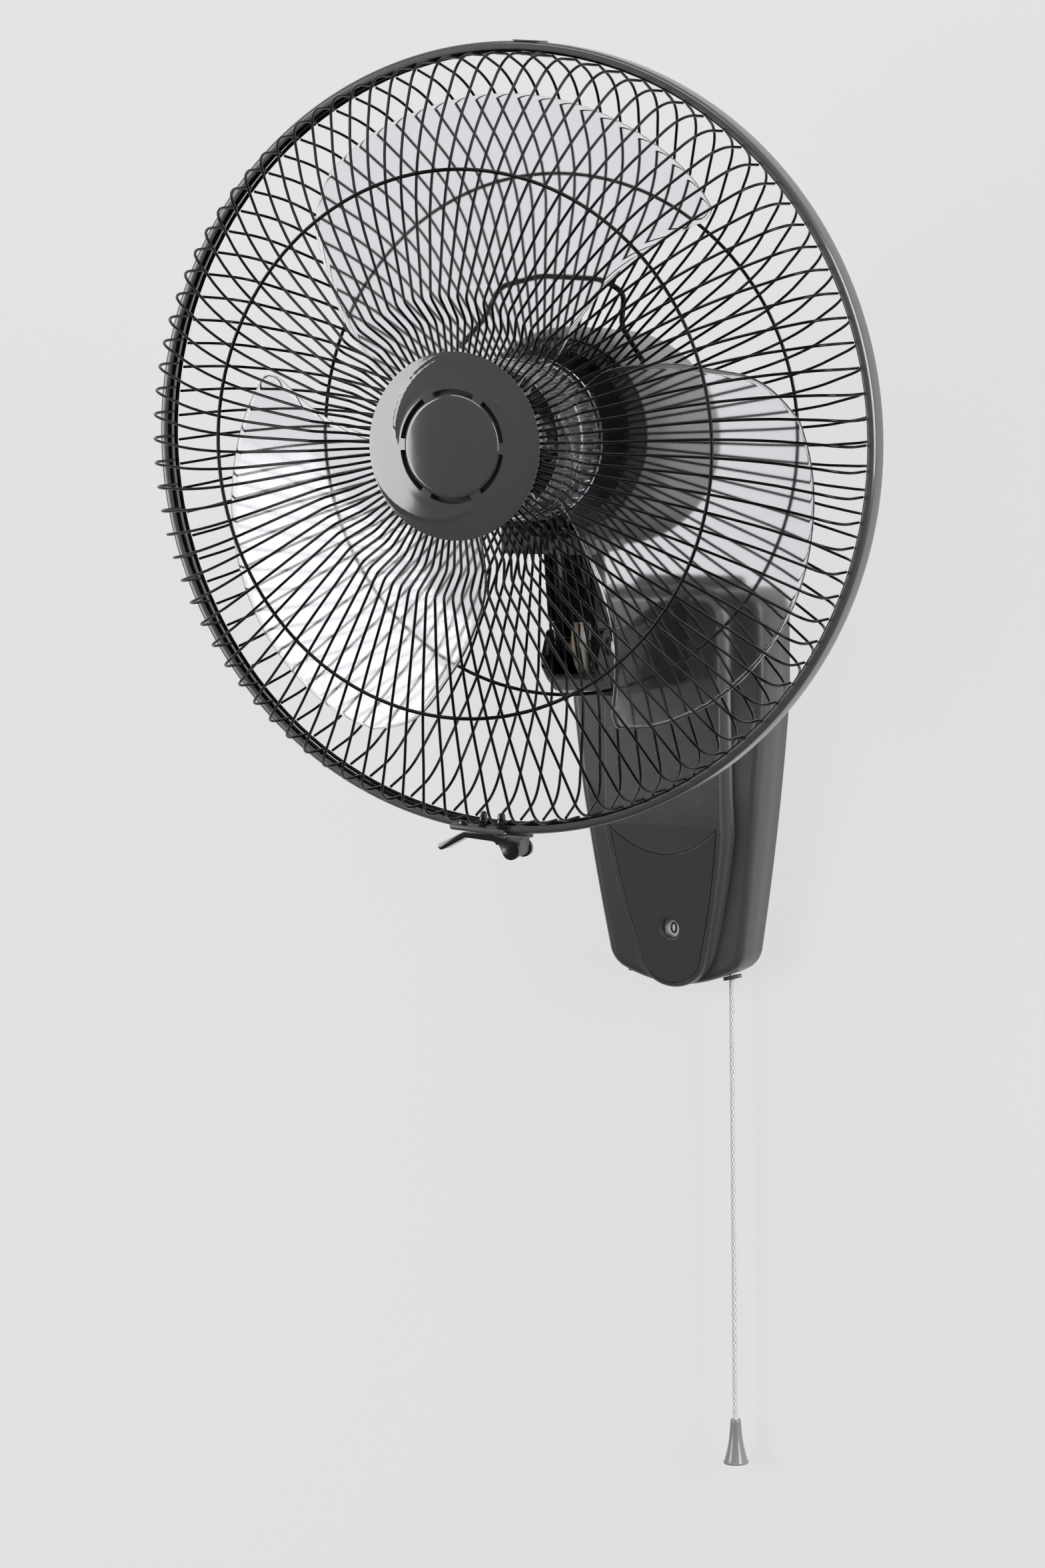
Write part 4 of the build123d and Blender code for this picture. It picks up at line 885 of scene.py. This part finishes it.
# ---------------------------------------------------------------- neck
softened("neck_arm", 1.6, slot="motor_black")
softened("neck_post", 0.6, slot="motor_black")
softened("tilt_pin", 0.5)
softened("tilt_nut", 0.4)


def lead(node, x):
    """An insulated lead that runs down the open fork into the arm."""
    bm = bmesh.new()
    r = 2.2
    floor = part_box(node)[0].z / MM + r + 0.1
    bends = [(x, 83 - reach, 115.8), (x, 82 - reach, 98), (x, 88 - reach, 84), (x, 108 - reach, floor),
             (x, 126 - reach, floor)]
    rod(bm, rounded(bends, [9, 8, 9], 8), r, 14)
    piece(node + "_sleeve", bm, node, wall_at, sharp=60)


lead("lead_cream", 0.0)
lead("lead_white", 5.6)


# ---------------------------------------------------------------- base
def through(a, b, c, steps=10):
    """Points on the arc from a through b to c. Its centre comes from the plane of complex numbers."""
    a, b, c = (complex(*p) for p in (a, b, c))
    w = (c - a) / (b - a)
    centre = (b - a) * (w - abs(w) ** 2) / (w - w.conjugate()) + a
    arm = a - centre
    sweep = (c - centre) / arm
    turn = atan2(sweep.imag, sweep.real)
    spots = [centre + arm * complex(cos(turn * i / steps), sin(turn * i / steps)) for i in range(steps + 1)]
    return [(spot.real, spot.imag) for spot in spots]


def mirrored(right):
    """Closes the right half of an outline, from its top to its foot, with its mirror image."""
    same = 0.01                 # points nearer than this are one
    half = [p for p, q in zip(right, right[1:]) if hypot(p[0] - q[0], p[1] - q[1]) > same] + right[-1:]
    return half + [(-x, z) for x, z in reversed(half) if abs(x) > 1e-6]


def inset(loop, depth):
    """An outline moved inward by a depth, square to its sides."""
    moved = []
    for before, here, after in zip(loop[-1:] + loop[:-1], loop, loop[1:] + loop[:1]):
        here = Vector(here)
        into, out = (here - Vector(before)).normalized(), (Vector(after) - here).normalized()
        one, two = Vector((into.y, -into.x)), Vector((out.y, -out.x))
        mitre = (one + two) / max(0.5, 1 + one.dot(two))
        moved.append(tuple(here + mitre * depth))
    return moved


# Heights, from the middle of the wall screws. The sides turn into the foot at the keel,
# and the panel narrows from its waist and bends back from its knee.
base_top, base_bottom, keel_z = 122.0, -118.5, -109.0
panel_top, panel_waist, panel_bottom = 117.0, -24.0, -118.0
knee_z, window_z = -18.0, -82.0
window_r = 6.05
shell_depth, shell_wall = 37.6, 2.5
panel_depth, panel_rise = 46.9, 10.8
inlay_thick = 1.6

right_half = [(0, base_top)] + through((50, base_top), (60, base_top - 4), (64, base_top - 14), 8)
right_half += through((64, 60), (57, -10), (45, -95), 14)
right_half += through((45, -95), (42.4, -103), (36, keel_z), 6)
right_half += through((36, keel_z), (18, keel_z - 6.8), (0, base_bottom), 8)
housing_loop = mirrored(right_half)

right_half = [(0, panel_top)] + through((26, panel_top), (34.5, panel_top - 3.5), (38, panel_top - 12), 8)
right_half += through((38, panel_waist), (31.6, -61), (22.5, -99.5), 12)
right_half += through((22.5, -99.5), (15.5, -112), (0, panel_bottom), 12)
panel_loop = mirrored(right_half)

right_half = through((0, -37), (18, -32.6), (34.6, -20), 10)
right_half += through((34.6, -20), (28.6, -58), (19.3, -97.6), 12)
right_half += through((19.3, -97.6), (14.2, -109.6), (0, -115.6), 12)
inlay_loop = mirrored(right_half)


def window_loop(r):
    turns = [2 * pi * i / 40 for i in range(40)]
    return [(r * sin(a), window_z + r * cos(a)) for a in turns]


def housing_face(z):
    """How far the housing's front stands from the wall at a height: it leans back both ways."""
    return shell_depth + (2.9 * z / 131 if z > 0 else 11.3 * z / 127.5)


def panel_face(z):
    """The same for the panel, which bends back below its knee."""
    return panel_depth - 13.7 * max(0.0, knee_z - z) / (knee_z - base_bottom)


def skin(bm, rings):
    """Joins rings of (outline, height) with bands of faces. Returns the first ring and the last."""
    loops = [[bm.verts.new((x, -height, z)) for x, z in loop] for loop, height in rings]
    for low, high in zip(loops, loops[1:]):
        count = len(low)
        for i in range(count):
            bm.faces.new((low[i], low[(i + 1) % count], high[(i + 1) % count], high[i]))
    return loops[0], loops[-1]


def cap(bm, *loops):
    """Fills the flat area inside the first loop of vertices and outside the others."""
    edges = [bm.edges.get(pair) for loop in loops for pair in zip(loop, loop[1:] + loop[:1])]
    bmesh.ops.triangle_fill(bm, use_beauty=True, use_dissolve=False, edges=edges)


def bent(bm, foot, face, height):
    """Stretches a shape that is a height deep so that it stands between two faces, at every level."""
    for z in (knee_z, 0):
        geometry = bm.verts[:] + bm.edges[:] + bm.faces[:]
        bmesh.ops.bisect_plane(bm, geom=geometry, plane_co=(0, 0, z), plane_no=(0, 0, 1), dist=1e-4)
    for vert in bm.verts:
        low, high = foot(vert.co.z), face(vert.co.z)
        vert.co.y = -low + vert.co.y * (high - low) / height
    bmesh.ops.recalc_face_normals(bm, faces=bm.faces[:])


def housing():
    """Moulded housing, open behind: draughted sides and a generous front edge."""
    bm = bmesh.new()
    steps = [(shell_wall, 8.0), (shell_wall, 0.1), (0.25, 0.1), (0.0, 0.4), (0.3, 20.0), (0.55, 32.2),
             (0.85, 33.9), (1.5, 35.4), (2.6, 36.7), (4.0, 37.4), (5.4, shell_depth), (5.7, shell_depth)]
    _, front = skin(bm, [(inset(housing_loop, move), height) for move, height in steps])
    cap(bm, front)
    bent(bm, lambda z: 0.0, housing_face, shell_depth)
    piece("housing", bm, "base_shell", wall_at, sharp=50)


def panel():
    """Raised panel: its sides rise out of the housing in a hollow sweep to a rounded ridge.

    The sweep fades out over the lowest part, so that the panel's foot stays round.
    """
    bm = bmesh.new()
    tall, floor, fade = panel_rise, panel_rise - 1.9, 26
    steps = [(-5.6, 0.0), (-4.4, 1.0), (-3.0, 2.3), (-1.8, 4.0), (-0.9, 6.0), (-0.35, 7.9), (0.05, 9.3),
             (0.4, 10.15), (0.8, 10.6), (1.2, tall), (1.32, tall)]
    rings = []
    for move, height in steps:
        loop = []
        slim = inset(panel_loop, max(move, -0.4))
        for (x, z), (slim_x, slim_z) in zip(inset(panel_loop, move), slim):
            share = min(1.0, max(0.0, (z - panel_bottom + 1) / fade))
            loop.append((slim_x + (x - slim_x) * share, slim_z + (z - slim_z) * share))
        rings.append((loop, height))
    _, ridge = skin(bm, rings)
    lip = [(-0.58, tall), (-0.48, tall), (-0.34, tall - 0.16), (-0.28, tall - 0.5), (-0.28, floor),
           (0.3, floor)]
    groove, bed = skin(bm, [(inset(inlay_loop, move), height) for move, height in lip])
    cap(bm, ridge, groove)
    bore, _ = skin(bm, [(window_loop(window_r), floor), (window_loop(window_r), tall - 9.0)])
    cap(bm, bed, bore)
    bent(bm, lambda z: housing_face(z) - 1.5, panel_face, tall)
    piece("front_panel", bm, "base_panel", wall_at, sharp=50)


def inlay():
    """Plate let into the lower panel inside a fine groove, with the window's turned seat in it."""
    bm = bmesh.new()
    thick, face = inlay_thick, inlay_thick - 0.15
    steps = [(0.0, 0.0), (0.0, thick - 0.55), (0.08, thick - 0.3), (0.28, face), (0.42, face)]
    back, front = skin(bm, [(inset(inlay_loop, move), height) for move, height in steps])
    seat = [(7.3, face), (7.2, face), (6.9, thick - 0.3), (6.35, thick - 0.9), (window_r, thick - 1.1),
            (window_r, 0.0)]
    outer, inner = skin(bm, [(window_loop(r), height) for r, height in seat])
    cap(bm, front, outer)
    cap(bm, back, inner)
    bent(bm, lambda z: panel_face(z) - thick, panel_face, thick)
    piece("lower_inlay", bm, "base_inlay", wall_at, sharp=40)


def numeral(bm, stroke, turn, centre, r):
    """Raised figure on the drum's rim. Its stroke is (across, up) in millimetres."""
    bold, sunk, aside = 0.9, 0.45, 1.1
    path = []
    for across, up in stroke:
        a = up / r + turn
        path.append((across + aside, centre.y - (r - sunk) * cos(a), centre.z + (r - sunk) * sin(a)))
    rod(bm, path, bold, 8)


def drum():
    """White drum with the figures 0 to 3 round it, on its stub."""
    low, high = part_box("speed_drum")
    r = (high.z - low.z) / 2 / MM
    centre = (low + high) / 2 / MM
    half, stub, corner = -low.x / MM, 2, 0.5
    bm = bmesh.new()
    profile = [(-half, 0), (-half, r - corner), (-half + corner, r), (half - corner, r), (half, r - corner),
               (half, stub), (high.x / MM, stub), (high.x / MM, 0)]
    lying = Matrix.Translation((0, centre.y, centre.z)) @ Matrix.Rotation(radians(-90), 4, "Z")
    turned(bm, profile, 96, place=lying)
    piece("numbered_drum", bm, "speed_drum", wall_at)
    nought = [(1.6 * sin(2 * pi * i / 24), 2.9 * cos(2 * pi * i / 24)) for i in range(25)]
    one = [(-1.0, 1.7), (0.3, 2.8), (0.3, -2.9)]
    two = [(-1.5, 1.5), (-1.1, 2.6), (0, 2.9), (1.2, 2.4), (1.4, 1.3), (0.8, 0.2), (-1.5, -2.8), (1.6, -2.8)]
    three = [(-1.4, 2.3), (-0.3, 2.9), (1.1, 2.3), (1.1, 0.8), (0.0, 0.2), (1.3, -0.5), (1.3, -2.2),
             (0, -2.9), (-1.4, -2.3)]
    figures = bmesh.new()
    for place, stroke in enumerate((nought, one, two, three)):
        numeral(figures, stroke, radians(90 * place), centre, r)
    piece("drum_figures", figures, "speed_drum", wall_at, sharp=60, slot="black_rubber", stands_for=False)


def eyelet():
    """Flat oval collar that the cord comes out of, leaning with the housing's foot."""
    bm = bmesh.new()
    low, high = (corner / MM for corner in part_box("cord_eyelet"))
    half, thick, bore, flat = (high.x - low.x) / 2, 2.2, 2.0, 0.58
    height, lean_by = -113.5, radians(-14)
    turns = [2 * pi * i / 48 for i in range(48)]
    oval = [(half * cos(a), flat * half * sin(a)) for a in turns]
    pierced(bm, oval, [[(bore * cos(a), bore * sin(a)) for a in turns]], -thick / 2, thick / 2)
    broken(bm, 0.6, 40)
    middle = Matrix.Translation(((low.x + high.x) / 2 + 0.4, (low.y + high.y) / 2, height))
    lean = Matrix.Rotation(lean_by, 4, "Y") @ Matrix.Rotation(radians(90), 4, "X")
    bmesh.ops.transform(bm, matrix=middle @ lean, verts=bm.verts[:])
    piece("cord_collar", bm, "cord_eyelet", wall_at, sharp=50)


def inlet():
    """Rubber ring that lies flush in the housing's foot, where the mains lead goes in."""
    low, high = (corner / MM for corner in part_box("lead_grommet"))
    middle = (low + high) / 2
    r, bore, foot = (high.x - low.x) / 2, 3.6, -111.4
    bm = bmesh.new()
    upright = Matrix.Translation((middle.x, middle.y, 0)) @ Matrix.Rotation(radians(90), 4, "X")
    ring = [(foot, bore), (foot, r), (high.z, r), (high.z, bore)]
    turned(bm, ring, 48, closed=True, corner=0.5, place=upright)
    piece("lead_inlet", bm, "lead_grommet", wall_at)


housing()
panel()
inlay()
drum()
eyelet()
inlet()


# ---------------------------------------------------------------- room and light
def room():
    """A plain pale wall behind the fan. What looks at it sees it evenly bright, under its shadows."""
    size, behind = 12, 0.0006
    bpy.ops.mesh.primitive_plane_add(size=size, location=(0, behind, 0), rotation=(pi / 2, 0, 0))
    wall = bpy.context.object
    wall.name = "backdrop"
    paint = Finish("backdrop_paint", roughness=1.0, specular_ior_level=0.0)
    paint.colour(grey(0.70))
    tree = paint.tree
    rays = tree.nodes.new("ShaderNodeLightPath").outputs
    seen = (Field(paint, rays["Is Camera Ray"]) + Field(paint, rays["Is Glossy Ray"])
            + Field(paint, rays["Is Transmission Ray"]))
    glow = tree.nodes.new("ShaderNodeEmission")
    glow.inputs["Color"].default_value = grey(0.765)
    mix = tree.nodes.new("ShaderNodeMixShader")
    share_of_glow = 0.86
    paint.feed(mix.inputs[0], seen.between(0.0, 1.0) * share_of_glow)
    tree.links.new(paint.shader.outputs[0], mix.inputs[1])
    tree.links.new(glow.outputs[0], mix.inputs[2])
    tree.links.new(mix.outputs[0], tree.nodes["Material Output"].inputs["Surface"])
    wall.data.materials.append(paint.material)


def softbox(name, place, target, size, power):
    """A lit rectangle that faces its target."""
    data = bpy.data.lights.new(name, "AREA")
    data.shape = "RECTANGLE"
    data.size, data.size_y = size
    data.energy = power
    lamp = bpy.data.objects.new(name, data)
    bpy.context.scene.collection.objects.link(lamp)
    lamp.location = place
    lamp.rotation_euler = (Vector(target) - Vector(place)).to_track_quat("-Z", "Y").to_euler()


def studio():
    """Faint light from all round, and three softboxes: left, right and above."""
    world = bpy.data.worlds.new("studio")
    bpy.context.scene.world = world
    world.use_nodes = True
    sky = world.node_tree.nodes["Background"].inputs
    sky["Color"].default_value = grey(1.0)
    sky["Strength"].default_value = 0.12
    softbox("left_box", (-2.0, -2.15, 0.35), (0, -0.25, 0.2), (1.25, 1.7), 56)
    softbox("right_box", (2.7, -1.0, 0.9), (0, -0.2, 0.1), (1.0, 2.4), 94)
    softbox("top_box", (-0.2, -1.8, 2.9), (0, -0.1, 0.1), (2.4, 1.4), 54)


room()
studio()
bpy.context.scene.view_settings.view_transform = "Standard"
